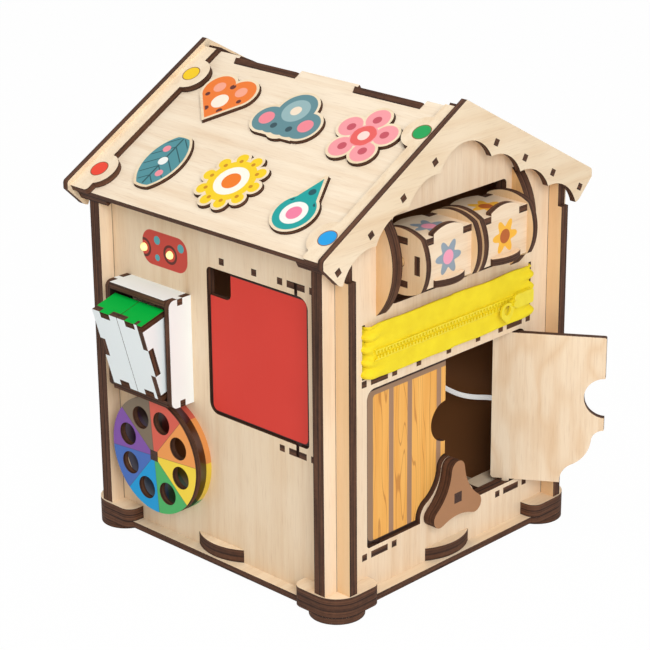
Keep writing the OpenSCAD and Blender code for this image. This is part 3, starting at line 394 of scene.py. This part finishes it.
def burnt_edge(f, direction, seam, sheet):
    """Laser-cut edge: veneers show as fine bands, and a dark line lies between two sheets."""
    depth = depth_into(f, direction, seam)
    bands = f.noise(depth * 1.1, f.z * 0.02, (f.x + f.y) * 0.02, 1.0, 3, 0.6)
    soot = f.noise(f.x, f.y, f.z, 0.35, 3, 0.6)
    light = bands.over(0.5, 0.3) * 0.7 + soot.over(0.5, 0.6) * 0.3
    joint = abs((depth + sheet / 2) % sheet - sheet / 2).under(0.35, 0.3)
    return f.mix(f.mix(colour(BURNT_DARK), colour(BURNT_LIGHT), light), colour(JOINT_LINE), joint * 0.75)


# %% The plywood itself
ALONG_GRAIN = 0.05
STREAK, CLOUD, FLECK = "#C99658", "#F6E4CA", "#A9784A"


def plywood(name, sheets, grain="z", face="#EDD6B9", prints=(), depth=1.0, gloss=0.5,
            seam=0.0, sheet=4.0, shine=0.3):
    """Sheets face the given directions; prints are functions that give (mask, colour)."""
    f = Finish(name)
    x, y, z = (w * ALONG_GRAIN if axis == grain else w for axis, w in zip("xyz", (f.x, f.y, f.z)))
    streak = f.noise(x, y, z, 0.16, 4, 0.6)
    fleck = f.noise(x, y, z, 1.5, 3, 0.55)
    cloud = f.noise(f.x, f.y, f.z, 0.018, 2)
    wood = f.mix(colour(face), colour(STREAK), streak.over(0.56, 0.3) * (0.34 * depth))
    wood = f.mix(wood, colour(CLOUD), cloud.over(0.52, 0.3) * (0.42 * depth))
    wood = f.mix(wood, colour(FLECK), fleck.over(0.62, 0.16) * (0.16 * depth))
    for layer in prints:
        mask, ink = layer(f)
        wood = f.mix(wood, ink, mask)
    cut = 1 - f.facing(*sheets)
    f.give("Base Color", f.mix(wood, burnt_edge(f, sheets[0], seam, sheet), cut))
    f.give("Roughness", gloss + 0.2 * cut + 0.1 * streak)
    f.give("Specular IOR Level", shine)
    f.bump(streak * 0.6 + fleck * 0.5, 0.05)
    return f


# %% [markdown]
# ## Prints on the wood
# Paint on the sheets is flat colour with a crisp edge. It could be a picture on each sheet,
# but a mask made from the distance to a simple shape stays sharp at any size and needs no
# unwrapping. The shapes are a circle, a box with round corners and a rosette.


# %% Distances to simple shapes
def disc(u, v, cu, cv, radius):
    """Distance from the edge of a circle, negative inside it."""
    return ((u - cu) ** 2 + (v - cv) ** 2) ** 0.5 - radius


def discs(*circles):
    """The outline of several circles together."""
    def outline(u, v):
        found = None
        for circle in circles:
            d = disc(u, v, *circle)
            found = d if found is None else found.least(d)
        return found
    return outline


def panel(u, v, low, high, corner):
    """Distance from the edge of a box with round corners."""
    cu, cv = (low[0] + high[0]) / 2, (low[1] + high[1]) / 2
    hu, hv = (high[0] - low[0]) / 2 - corner, (high[1] - low[1]) / 2 - corner
    du, dv = (abs(u - cu) - hu).most(0), (abs(v - cv) - hv).most(0)
    return (du ** 2 + dv ** 2) ** 0.5 - corner


def rosette(u, v, petals, radius, wave=0.22):
    """Distance from the edge of a flower with that many petals."""
    turn = v.calc("ARCTAN2", u)
    return disc(u, v, 0, 0, radius * (1 - wave + wave * (turn * petals).calc("COSINE")))


def inside(distance, soft=0.3):
    """A mask from a distance: 1 inside the shape, with an edge `soft` millimetres wide."""
    return distance.under(0, soft)


# %% [markdown]
# ## Walls, base and trims
# Each wall is two sheets glued face to face. Where two walls cross, the slot's burnt edge
# shows as a thin dark line in the inner corner: cutting a groove for it would only add faces,
# so it is printed. The room inside is painted brown as shade, so that the doorway looks deep.

# %% Prints of the walls
HALF_W, HALF_D = 92.6, 93.9
ROOM_W, ROOM_D = 86.7, 86
LAP_LINE = "#2A140D"


def corner_line(f):
    """The line where a front or rear wall meets the side walls."""
    return abs(abs(f.x) - HALF_W).under(0.4, 0.3) * 0.85, colour(LAP_LINE)


def side_corner_line(f):
    """The line where a side wall meets the front and rear walls."""
    return abs(abs(f.y) - HALF_D).under(0.4, 0.3) * 0.85, colour(LAP_LINE)


def lap_shade_and_bounce(f):
    """The ends of the side walls stand past the gables, in the corner's shade, where light bounces from
    wood to wood: both are painted as a warm, darker tone.
    """
    return abs(f.y).over(HALF_D + 0.4, 0.3) * 0.6, colour("#E5B87E")


def painted_room_shade(f):
    """Painted shade on what lies between the walls: the room's birch is darkened brown."""
    return f.x.between(-ROOM_W, ROOM_W) * f.y.between(-ROOM_D, ROOM_D), colour("#8A5A34")


# %% Walls
gable = plywood("birch-gable", [FRONT], face="#EED6B8", prints=[corner_line], seam=HALF_D)
dress(gable, "front_wall_outer", "rear_wall_outer")
inner_front = plywood("birch-gable-inner", [FRONT], prints=[corner_line, painted_room_shade], seam=HALF_D)
dress(inner_front, "front_wall_inner", "rear_wall_inner")
inner_side = plywood("birch-side-inner", [SIDE], prints=[side_corner_line, lap_shade_and_bounce, painted_room_shade],
                     seam=HALF_W, sheet=3)
dress(inner_side, "left_wall_inner", "right_wall_inner")
dress(plywood("birch-right-wall", [SIDE], face="#EAD2AC"), "right_wall_outer")

# %% Base, trims and small sheets
BOARD_SEAM, STAND_SEAM, ROOF_SEAM, PIECE_SEAM = 104.9, 60.6, 3, 5
base = plywood("birch-base", [LEVEL], "x", face="#EFD9BA")
dress(base, "feet", "base_plate", "corner_brackets", "half_moons", "hinge_lugs")
dress(plywood("birch-trim", [FRONT], "x", face="#E8D2B2", seam=BOARD_SEAM), "bargeboards")
rail = plywood("birch-rail", SLOPES, "x", face="#E9D0AB", seam=ROOF_SEAM)
dress(rail, "roof_rails", "puzzle_backing")
stand = plywood("birch-stand", [SIDE], face="#DFB37A", seam=STAND_SEAM)
dress(stand, "spinner_brackets", "wheel_washer", "wheel_keeper")
dress(plywood("birch-keeper", [FRONT]), "latch_keeper")

# %% [markdown]
# ## Roof
# The panels are plain birch. Each end strip carries a coloured dot, flush in each of its two
# lobes: a small disc pressed into a hole, so a thin burnt line runs round it. As it stands
# neither proud nor deep, a print on the strip shows it as well as a disc of its own would.

# %% Roof panels
roof = plywood("birch-roof", SLOPES, "y", face="#F6E4CA", seam=ROOF_SEAM)
dress(roof, "roof_panel_left", "roof_panel_right")


def down_slope(f):
    """Distance from the ridge, measured down either slope."""
    return abs(f.x) * math.cos(PITCH) + (RIDGE - f.z) * math.sin(PITCH)


# %% Colour dots of the end strips
DOT_R, DOT_TOP, DOT_LOW, DOT_ROW = 5.8, 27, 112, 91.8


def dot(at, row, code):
    """A flush dot with the thin burnt line of its hole round it."""
    def layer(f):
        off = disc(down_slope(f), f.y, at, row, DOT_R)
        return inside(off, 0.25), f.mix(colour(code), colour("#7A5030"), off.over(-0.55, 0.3))
    return layer


dots = [dot(DOT_TOP, DOT_ROW, "#F2C91C"), dot(DOT_LOW, DOT_ROW, "#E8432E"),
        dot(DOT_TOP, -DOT_ROW, "#169C50"), dot(DOT_LOW, -DOT_ROW, "#1C9CE0")]
strips = plywood("birch-strip", SLOPES, "x", face="#F0DCBE", prints=dots, seam=ROOF_SEAM)
dress(strips, "end_strips")

# %% [markdown]
# ## Puzzle pieces
# A piece has a bare birch rim round a flat print. The print could be drawn by its own points,
# but then each rim would have to be fitted by hand. Here it is the piece's own outline, as a
# distance, and moving in by the rim's width gives the print. A few light and dark spots give
# the eye something to find.

# %% A printed puzzle piece
RIM, SPOT_RIM = 1.7, 2.6


def piece_print(at, row, outline, ink, accents):
    """Up the slope is v, and along the ridge is u, from the piece's own middle."""
    def place(f):
        return row - f.y, at - down_slope(f)

    def ground(f):
        return inside(outline(*place(f)) + RIM), colour(ink)

    def spots(shape, code):
        def layer(f):
            u, v = place(f)
            return inside(shape(u, v)) * inside(outline(u, v) + SPOT_RIM), colour(code)
        return layer

    return [ground] + [spots(shape, code) for shape, code in accents]


def ring_of(count, reach, radius, start=0):
    """Circles set evenly round the middle."""
    turns = [math.radians(start + 360 / count * k) for k in range(count)]
    return [(reach * math.cos(a), reach * math.sin(a), radius) for a in turns]


# %% Outlines of the pieces, as they are cut
REACH = 23
PUFF = REACH * 1.15


def heart(u, v):
    """A square on its corner, with half a circle on each upper side."""
    a = REACH * 1.07
    side = a / math.sqrt(8)
    v = v + a * 0.07
    lobes = discs((side, side, a / 2), (-side, side, a / 2))(u, v)
    return lobes.least((abs(u) + abs(v)) * math.sqrt(0.5) - a / 2)


def leaf(u, v):
    """What two large circles share, with its points cut round."""
    bow = REACH * 1.2
    two = disc(u, v, -bow * 0.46, 0, bow).most(disc(u, v, bow * 0.46, 0, bow))
    return two.most(disc(u, v, 0, 0, REACH - 1.5))


def drop(u, v):
    """A circle with a cone on it."""
    r = REACH * 0.64
    half = math.atan(r * 0.95 / (2 * REACH - r))
    cone = abs(u) * math.cos(half) - (REACH - v) * math.sin(half)
    return disc(u, v, 0, r - REACH, r).least(cone.most(r - REACH - v))


cloud = discs((0, PUFF * 0.22, PUFF * 0.55), (-PUFF * 0.52, -PUFF * 0.2, PUFF * 0.44),
              (PUFF * 0.52, -PUFF * 0.16, PUFF * 0.46), (0, -PUFF * 0.24, PUFF * 0.4),
              (-PUFF * 0.26, -PUFF * 0.24, PUFF * 0.4), (PUFF * 0.26, -PUFF * 0.24, PUFF * 0.4))
flower = discs((0, 0, REACH * 0.45), *ring_of(5, REACH * 0.6, REACH * 0.4, 90))
sun = discs((0, 0, REACH * 0.76), *ring_of(10, REACH * 0.76, REACH * 0.24))


# %% The six pieces, each with its spots in millimetres from its middle
def veins(u, v):
    """A midrib and side ribs that rise outwards, 8 mm apart."""
    return (abs(u) - 0.6).least(abs(((v + abs(u) * 0.8) % 8) - 4) - 0.45)


HIGH, LOW, STEP = 38, 92.5, 56.5
PIECES = {
    "heart": (HIGH, STEP, heart, "#EC7A2E", [
        (discs((-9, 8, 4), (9, 8, 4)), "#F4A58A"),
        (discs((0, -2, 5.6)), "#F8EBD8"),
        (discs((0, 10.5, 2), (-5.4, -9.5, 2), (5.6, -9, 2), (-13, 1, 1.6), (13, 1, 1.6)), "#5A241C")]),
    "cloud": (HIGH, 0, cloud, "#5E878E", [
        (discs((0, 5, 9)), "#93B2B4"),
        (discs((-15, -5, 5), (15, -4, 5)), "#EE8792"),
        (discs((0, 5, 3.6)), "#F3DFC6"),
        (discs((-6, -9, 2.2), (6, -9, 2.2)), "#2E4A52")]),
    "flower": (HIGH, -STEP, flower, "#F29AA0", [
        (discs((0, 0, 8)), "#E5605C"),
        (discs((0, 0, 3.6)), "#F8D9CF"),
        (discs(*ring_of(5, 13, 2.8, 90)), "#C2505E")]),
    "leaf": (LOW, STEP, leaf, "#4C8B93", [
        (veins, "#1F4F55"),
        (discs((-5, 9, 2.6), (5, -9, 2.6)), "#F0909A"),
        (discs((0, 0, 3.2)), "#EFF0EA")]),
    "sun": (LOW, 0, sun, "#F4CE1E", [
        (discs((0, 0, 11)), "#FAF5E6"),
        (discs((0, 0, 6)), "#EE7A1E"),
        (discs(*ring_of(10, 15.5, 1.3)), "#C98A12")]),
    "drop": (LOW, -STEP, drop, "#129C98", [
        (discs((0, -8.6, 8.4)), "#F4F2EA"),
        (discs((0, -8.6, 4.8)), "#EE7E9E"),
        (discs((0, 8, 2.4), (-8.6, 0.4, 1.5), (8.6, 0.4, 1.5)), "#0B4E55")]),
}
for name, described in PIECES.items():
    piece = plywood("puzzle-" + name, SLOPES[:1], "y", face="#F2DEBC",
                    prints=piece_print(*described), seam=PIECE_SEAM)
    dress(piece, "puzzle_" + name)

# %% [markdown]
# ## Left wall
# A printed field sits round the two lamps, like a lantern with its two lights. Its rings and
# dots are masks in the wall's own coordinates, so that they stay round the lamps' holes.

# %% The lamp field
FIELD_LOW, FIELD_HIGH, FIELD_CORNER = (22, 175), (60, 196), 8
LAMP_Y, LAMP_Z, LAMP_RING = (36.5, 58.5), 184.2, 5


def lantern(f):
    """The red field, a box with round corners."""
    return inside(panel(f.y, f.z, FIELD_LOW, FIELD_HIGH, FIELD_CORNER)), colour("#C8473A")


def lantern_rings(f):
    first, second = (abs(disc(f.y, f.z, y, LAMP_Z, LAMP_RING)) for y in LAMP_Y)
    return inside(first.least(second) - 0.8, 0.2) * lantern(f)[0], colour("#5C2A24")


def lantern_dots(f):
    spots = discs((27.5, 190, 2.6), (47.5, 190.5, 2.6), (47.5, 180, 2))(f.y, f.z)
    return inside(spots), colour("#58A7AE")


side_wall = plywood("birch-left-wall", [SIDE], face="#E8D0AF",
                    prints=[lap_shade_and_bounce, lantern, lantern_rings, lantern_dots])
dress(side_wall, "left_wall_outer")

# %% [markdown]
# ## Front doors
# The leaves are printed as planks with a brown frame, on the side that shows when they are
# shut. The planks are bands across the leaf, and their grain is a wave bent by noise. One
# function makes both prints: the right leaf stands open, so it gets its own measure of the
# distance from its hinge, and its planks then mirror the left leaf's when it is shut.

# %% The printed planks
HINGE_X, HINGE_Y = 57.8, -89.9
SLICE = -93.9  # both leaves read the noise at this one depth, so that they look alike
GAPS, GAP_HALF = (-46, -30.6, -5.9), 1.9
BORDER_LOW, BORDER_HIGH, BORDER_CORNER = (-61, 35.4), (5, 124.5), 2
LEAF_LOW, LEAF_HIGH, LEAF_CORNER = (-66.8, 34.7), (9, 128.6), 5


def plank_print(along, outside):
    """The layers of one leaf. along gives the left leaf's x, outside is 1 on the printed side."""

    def orange(f):
        tone = f.noise(along(f) * 0.2, SLICE, f.z * 0.01, 1, 2)
        return outside(f), f.mix(colour("#F4B962"), colour("#E8A44C"), tone.over(0.5, 0.4))

    def grain(f):
        bend = f.noise(along(f) * 0.09, SLICE, f.z * 0.009, 1, 1)
        lines = abs((along(f) * 0.3 + bend * 9) % 1 - 0.5)
        return lines.under(0.055, 0.05) * outside(f) * 0.55, colour("#A9632A")

    def gaps(f):
        bands = [along(f).between(at - GAP_HALF, at + GAP_HALF, 0.25) for at in GAPS]
        return bands[0].most(bands[1]).most(bands[2]) * outside(f), colour("#A07C62")

    def border(f):
        edge = 1 - inside(panel(along(f), f.z, BORDER_LOW, BORDER_HIGH, BORDER_CORNER))
        return edge * outside(f), colour("#96765C")

    def rim(f):
        """The burnt line along the cut edge, widened to stand for the painted shade round the shut leaf,
        which sits back in the wall.
        """
        edge = 1 - inside(panel(along(f), f.z, LEAF_LOW, LEAF_HIGH, LEAF_CORNER) + 1.2)
        return edge * outside(f), colour("#2E1810")

    return [orange, grain, gaps, border, rim]


# %% The shut leaf
DOOR_SEAM, LATCH_SEAM = 91.9, 98.3
shut_leaf = plank_print(lambda f: f.x, lambda f: f.ny.under(-0.5))
dress(plywood("printed-planks", [FRONT], seam=DOOR_SEAM, prints=shut_leaf), "left_door")


# %% The open leaf
def flame(f):
    """Wide cathedral figure: rings of the tree cut nearly along the trunk."""
    bend = f.noise(f.x * 0.03, f.y * 0.03, f.z * 0.012, 1, 2)
    rings = abs((f.x * 0.05 + f.y * 0.05 + bend * 6) % 1 - 0.5)
    return rings.under(0.16, 0.3) * 0.3, colour("#D2A26A")


def along_open(f):
    """Where the left leaf would have its x, from the distance to the right leaf's hinge."""
    return (f.x - HINGE_X) * OPEN_DOOR[1] - (f.y - HINGE_Y) * OPEN_DOOR[0] - HINGE_X


def outside_open(f):
    return (f.nx * OPEN_DOOR[0] + f.ny * OPEN_DOOR[1]).over(0.5)


open_leaf = plywood("birch-open-door", [OPEN_DOOR], face="#EDD6B8", depth=1.1,
                    prints=[flame] + plank_print(along_open, outside_open))
dress(open_leaf, "right_door")

# %% [markdown]
# ## Painted sheets and pegs
# The red door and the brown latch are painted plywood. Paint over wood is never quite even,
# so a large soft noise shifts it a little between two close colours. The pegs that hold the
# latch and the wheel are burnt all round, like the cut edges.


# %% Red door and latch
def painted(code, shade, amount=0.35):
    """Ink that lets a little of the wood's cloudiness through."""
    def layer(f):
        tone = f.noise(f.x, f.y, f.z, 0.02, 2)
        return 1, f.mix(colour(code), colour(shade), tone.over(0.5, 0.4) * amount)
    return layer


RED_LOW, RED_HIGH, RED_CORNER = (-72.2, 97.4), (5.2, 183.8), 4


def door_rim_and_gap_shade(f):
    """The burnt rim of the red door with the painted shade of the gap round it, and its bare pivots
    above and below it.
    """
    return 1 - inside(panel(f.y, f.z, RED_LOW, RED_HIGH, RED_CORNER) + 0.7), colour("#2E1810")


red = plywood("red-door", [SIDE], prints=[painted("#DB3C2E", "#CC3126", 0.3), door_rim_and_gap_shade], gloss=0.45)
dress(red, "red_door")
latch = plywood("brown-latch", [FRONT], prints=[painted("#AA7A55", "#93653F")], seam=LATCH_SEAM)
dress(latch, "door_latch")

# %% Square pegs
peg = Finish("burnt-peg")
peg.give("Base Color", peg.patches("#4A2A1C", "#2A160E", 0.9, 0.4))
peg.give("Roughness", 0.75)
dress(peg, "latch_peg", "wheel_peg")

# %% [markdown]
# ## Colour wheel
# Eight equal sectors turn round the peg. They could be eight materials, but then the disc
# would have to be cut into eight pieces. Instead the angle round the middle picks the ink
# from a ramp with hard steps. The disc behind carries the same colours, also on its rim,
# darkened as painted shade because it lies deep behind the holes.

# %% Sectors
SECTORS = ["#DA5F4C", "#F09C50", "#F8D840", "#4AB062", "#009AD6", "#446CB8", "#8050A4", "#7C6C58"]
WHEEL_Y, WHEEL_Z = 42.8, 61.2
FIRST_EDGE = 94.5


def wheel_turn(f):
    """The angle round the wheel's middle, in degrees."""
    return f.calc("ARCTAN2", f.z - WHEEL_Z, WHEEL_Y - f.y) * (180 / math.pi)


def sectors(f):
    stops = ["CONSTANT"] + [(k / len(SECTORS), code) for k, code in enumerate(SECTORS)]
    around = ((FIRST_EDGE - wheel_turn(f)) % 360) / 360
    return 1, f.node("ShaderNodeValToRGB", {"stops": stops}, Fac=around).outputs[0]


def sector_lines(f):
    """A thin dark line on the edge of each sector."""
    reach = disc(f.y, f.z, WHEEL_Y, WHEEL_Z, 0)
    half = 180 / len(SECTORS)
    off = abs((wheel_turn(f) - (FIRST_EDGE - 90) + half) % (2 * half) - half) * (math.pi / 180) * reach
    return off.under(0.2, 0.2) * 0.5, colour("#4A3A30")


dress(plywood("wheel-sectors", [SIDE], prints=[sectors, sector_lines], gloss=0.45), "colour_wheel")

# %% The disc behind
back_disc = Finish("wheel-back-sectors")
# Painted shade: the disc behind is darkened, its faces most, as it lies deep behind the holes.
shade = abs(back_disc.nx).over(0.9, 0.04) * 0.6 + 0.26
back_disc.give("Base Color", back_disc.mix(sectors(back_disc)[1], colour("#2A0E10"), shade))
back_disc.give("Roughness", 0.35)
dress(back_disc, "wheel_back")

# %% [markdown]
# ## Switch
# Two rocker keys stand in a box of interlocking plates. The plates are printed white on
# their faces, with burnt edges, and the inside is painted dark as shade, which makes the keys
# stand out. The caps are green on top and red below, and one height parts the two inks, so
# that both keys share a finish.

# %% White plates
WHITE = painted("#EFF6F6", "#E6ECED")
BOX_WALL = 2
box_low, box_high = (corner * 1000 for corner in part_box("switch_sides"))


def box_inside_shade(f):
    """The box is bare inside and painted dark as shade, which shows past the tilted keys."""
    across = f.y.between(box_low.y + BOX_WALL, box_high.y - BOX_WALL)
    return across * f.z.between(box_low.z + BOX_WALL, box_high.z - BOX_WALL), colour("#2B1D17")


dress(plywood("white-sides", [FRONT], prints=[WHITE, box_inside_shade]), "switch_sides")
dress(plywood("white-shelves", [LEVEL], prints=[WHITE, box_inside_shade]), "switch_shelves")
dress(plywood("white-key-sides", [FRONT], prints=[WHITE]), "front_key_sides", "rear_key_sides")
dress(plywood("white-keys", [KEY_FRONT], prints=[WHITE]), "front_key_plate", "rear_key_plate")

# %% Green and red caps
CAPS_PART = 131.2


def cap_ink(f):
    return 1, f.mix(colour("#D03226"), colour("#00AE3E"), f.z.over(CAPS_PART, 1))


caps = plywood("key-caps", [KEY_CAP], prints=[cap_ink], shine=0.08)
dress(caps, "front_key_caps", "rear_key_caps")

# %% [markdown]
# ## Spinning blocks
# Each block is a box of six thin plates, and a small rosette is printed on each long face. A
# face that looks forward is measured in height, and one that looks up in depth. The surface's
# normal tells which, so that one print serves all four faces.

# %% Rosettes on the blocks
BLOCK_Y, BLOCK_Z = -99.1, 201.2
PETALS, ROSETTE_R, HEART_R = 6, 10.5, 4.2


def block_print(middle, ink, second):
    """A rosette round the middle of each long face, with a round heart."""
    def place(f):
        looks_up = abs(f.nz).over(0.7, 0.02)
        return f.x - middle, (f.z - BLOCK_Z) * (1 - looks_up) + (f.y - BLOCK_Y) * looks_up

    def petals(f):
        return inside(rosette(*place(f), PETALS, ROSETTE_R)), colour(ink)

    def heart_spot(f):
        return inside(disc(*place(f), 0, 0, HEART_R)), colour(second)
    return [petals, heart_spot]


BLOCK_MIDDLE = 23.9
BLOCKS = {"left": block_print(-BLOCK_MIDDLE, "#8E9CA8", "#EE9DB4"),
          "right": block_print(BLOCK_MIDDLE, "#F2B53C", "#B5602A")}
for hand, prints in BLOCKS.items():
    dress(plywood(hand + "-block-sides", [FRONT], "x", prints=prints), hand + "_spinner_sides")
    dress(plywood(hand + "-block-flats", [LEVEL], "x", prints=prints), hand + "_spinner_flats")
block_ends = plywood("birch-block-ends", [SIDE], face="#DFBD90")
dress(block_ends, "left_spinner_ends", "right_spinner_ends")

# %% [markdown]
# ## Zip
# The tape is a woven strip that bends back into a slot at each end, where it bunches into
# folds. A flat solid can't show that, and a cloth simulation would need the slots as tight
# obstacles. So the strip is a grid of points along its own bend, and a wave that grows
# towards the slots moves each point out or in. The band under the teeth stays flat, because
# the slider runs on it.

# %% Bend of the tape, in millimetres
TAPE_THICK, TAPE_BEND, FOLDS, FOLD_DEPTH = 1.2, 4.0, 4, 1.5
BUNCH_FROM, CHAIN_HALF, CHAIN_SOFT = 48, 4.6, 2.5
RIPPLE, NARROWED, UNEVEN = 0.35, 0.07, 0.25
tape_low, tape_high = (corner * 1000 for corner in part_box("zip_tape"))
teeth_low, teeth_high = (corner * 1000 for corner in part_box("zip_teeth"))
tape_front = tape_low.y + TAPE_THICK / 2
flat_half = tape_high.x - TAPE_THICK / 2 - TAPE_BEND
bend_half = flat_half + TAPE_BEND * math.pi / 2
tape_half = bend_half + tape_high.y - tape_front - TAPE_BEND
chain_z, tape_tall = (teeth_low.z + teeth_high.z) / 2, tape_high.z - tape_low.z
print("tape:", round(2 * tape_half), "x", round(tape_tall, 1), "mm")


# %% A point of the tape
def ease(value):
    """From 0 to 1 with a soft start and end, for a value that goes from 0 to 1."""
    value = min(max(value, 0), 1)
    return value * value * (3 - 2 * value)


def tape_point(along, up):
    """A point of the tape: along it from its middle, and up it from 0 to 1."""
    s, hand = abs(along), math.copysign(1, along)
    turn = min(max((s - flat_half) / TAPE_BEND, 0), math.pi / 2)
    x = min(s, flat_half) + TAPE_BEND * math.sin(turn)
    y = tape_front + TAPE_BEND * (1 - math.cos(turn)) + max(s - bend_half, 0)
    z = tape_low.z + up * tape_tall
    bunch = ease((s - BUNCH_FROM) / (bend_half - BUNCH_FROM)) ** 1.6
    on_chain = 1 - ease((abs(z - chain_z) - CHAIN_HALF) / CHAIN_SOFT)
    free = 1 - on_chain * (1 - ease((s - flat_half) / 2))
    fold = math.sin(2 * math.pi * (FOLDS * up + 0.06 * hand * math.sin(s * 0.35)))
    ripple = RIPPLE * math.sin(s * 0.11 + 5 * up) * (1 - on_chain)
    in_slot = ease((s - bend_half) / 2)
    out = (FOLD_DEPTH * bunch * fold * free + ripple) * (1 - 0.75 * in_slot)
    z += (0.5 - up) * tape_tall * NARROWED * bunch + UNEVEN * math.sin(s * 0.13 + hand) * (1 - bunch)
    return Vector((hand * (x + out * math.sin(turn)), y - out * math.cos(turn), z)) / 1000


# %% Mesh of the tape
ALONG, UP = 180, 56
grid = [tape_point(tape_half * (2 * i / ALONG - 1), k / UP)
        for i in range(ALONG + 1) for k in range(UP + 1)]
corners = (0, UP + 1, UP + 2, 1)
quads = [[i * (UP + 1) + k + corner for corner in corners] for i in range(ALONG) for k in range(UP)]
bunched_tape = mesh_piece("bunched_tape", grid, quads)
thick = bunched_tape.modifiers.new("thickness", "SOLIDIFY")
thick.thickness, thick.offset = TAPE_THICK / 1000, 0
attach(bunched_tape, "house")
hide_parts("zip_tape")
2 * tape_half / 1000
print("tape mesh:", len(quads), "faces")

# %% Weave of the tape
WARP, WEFT = 5.2, 6.4
tape = Finish("woven-tape")
rib = (tape.x * WARP).calc("SINE") * (tape.z * WEFT).calc("SINE") * 0.5 + 0.5
worn = tape.patches("#F8E21E", "#ECD212", 0.12)
# Painted shade: the low parts of the weave are a little darker, as between the threads.
tape.give("Base Color", tape.mix(worn, colour("#D2B800"), (1 - rib) * 0.2))
tape.give("Roughness", 0.75 + 0.1 * rib)
tape.bump(rib * 0.25, 0.3)
dress(tape, bunched_tape)

# %% Moulded teeth, slider and pull
moulded = Finish("moulded-yellow")
moulded.give("Base Color", moulded.patches("#F2DE28", "#E8D21C", 0.3))
moulded.give("Roughness", 0.4)
dress(moulded, "zip_teeth", "zip_slider", "zip_pull")

# %% [markdown]
# ## Dowels
# Round hardwood rods carry the blocks and the keys. Their grain runs along them, so the noise
# is stretched in x, which is the way that the long one lies.

# %% Dowels
dowel = Finish("dowel")
streaks = dowel.noise(dowel.x * 0.1, dowel.y, dowel.z, 1.2).over(0.5, 0.4)
dowel.give("Base Color", dowel.mix(colour("#CDA878"), colour("#B98F5E"), streaks))
dowel.give("Roughness", 0.6)
dress(dowel, "spinner_axle", "rocker_axle")

# %% [markdown]
# ## Lamps, lead and battery box
# The two lamps are lit. A light inside each would spill on the wall and cost render time, so
# the plastic itself glows a little, and its tip more than its rim, as a small bulb does. The
# lead is white plastic, and the battery box black with a fine moulded grain.

# %% Lit lamps
LAMP_TIP = -92
glow = Finish("lit-lamp")
tip = glow.x.under(LAMP_TIP, 1.5)
glow.give("Base Color", glow.mix(colour("#F3C860"), colour("#FBE9A8"), tip))
glow.give("Emission Color", glow.mix(colour("#E89A20"), colour("#FFE58C"), tip))
glow.give("Emission Strength", 0.6)
glow.give("Roughness", 0.2)
dress(glow, "lamps")

# %% White lead
# A faint glow stands for the light that the white lead catches in the dark room.
lead = Finish("white-lead")
lead.give("Base Color", lead.patches("#FAFAF8", "#E8E6E2", 0.2))
lead.give("Roughness", 0.45)
lead.give("Emission Color", colour("#F4F3F0"))
lead.give("Emission Strength", 0.42)
dress(lead, twin_lead)

# %% Battery box
case = Finish("battery-case")
case.give("Base Color", case.patches("#26282A", "#3A3C3E", 1.5, 0.3))
case.bump(case.noise(case.x, case.y, case.z, 4), 0.05)
case.give("Roughness", 0.55)
dress(case, "battery_box")

# %% [markdown]
# ## Floor and light
# A pale floor takes the soft shadow. A large light from the front left makes the gable
# brighter than the left wall, and the sky fills the rest. A brighter light would whiten the
# background too, but it would wash out the wood. So the floor glows for the camera alone,
# and the sky is full white only where the camera or a reflection sees it.

# %% Floor
FLOOR_GLOW = 0.98
bpy.ops.mesh.primitive_plane_add(size=30, location=(0, 0, 0))
floor = bpy.context.object
floor.name = "floor"
pale = bpy.data.materials.new("pale-floor")
pale.use_nodes = True
pale.node_tree.nodes.clear()
ground = Shading(pale.node_tree)
seen = Wire(ground, ground.node("ShaderNodeLightPath").outputs["Is Camera Ray"])
matte = ground.node("ShaderNodeBsdfDiffuse", Color=(0.9, 0.9, 0.9, 1)).outputs[0]
bright = ground.node("ShaderNodeEmission").outputs[0]
blend = ground.node("ShaderNodeMixShader", i0=seen * FLOOR_GLOW, i1=matte, i2=bright).outputs[0]
ground.node("ShaderNodeOutputMaterial", Surface=blend)
floor.data.materials.append(pale)
print("floor of", round(floor.dimensions.x), "m")

# %% Sky
SKY_LEVEL = 0.42
world = bpy.data.worlds.new("studio")
bpy.context.scene.world = world
world.use_nodes = True
sky = Shading(world.node_tree)
rays = sky.node("ShaderNodeLightPath").outputs
in_sight = Wire(sky, rays["Is Camera Ray"]).most(Wire(sky, rays["Is Glossy Ray"]))
dome = sky.nodes["Background"].inputs
sky.plug(dome["Color"], (1, 1, 1, 1))
sky.plug(dome["Strength"], SKY_LEVEL + (1 - SKY_LEVEL) * in_sight)
print("sky level:", SKY_LEVEL)

# %% Softboxes
AIM = Vector((0, 0, 0.14))


def softbox(name, place, size, power):
    """A round area light that looks at the middle of the house."""
    lamp = bpy.data.lights.new(name, "AREA")
    lamp.shape, lamp.size, lamp.energy = "DISK", size, power
    made = bpy.data.objects.new(name, lamp)
    made.location = place
    made.rotation_euler = (AIM - Vector(place)).to_track_quat("-Z", "Y").to_euler()
    bpy.context.collection.objects.link(made)
    print("softbox", name, "of", power, "W")


softbox("key", place=(-1.05, -1.6, 1.15), size=1.0, power=25.5)
softbox("top", place=(-0.4, -0.2, 2.1), size=1.2, power=12.5)
bpy.context.scene.view_settings.view_transform = "Standard"
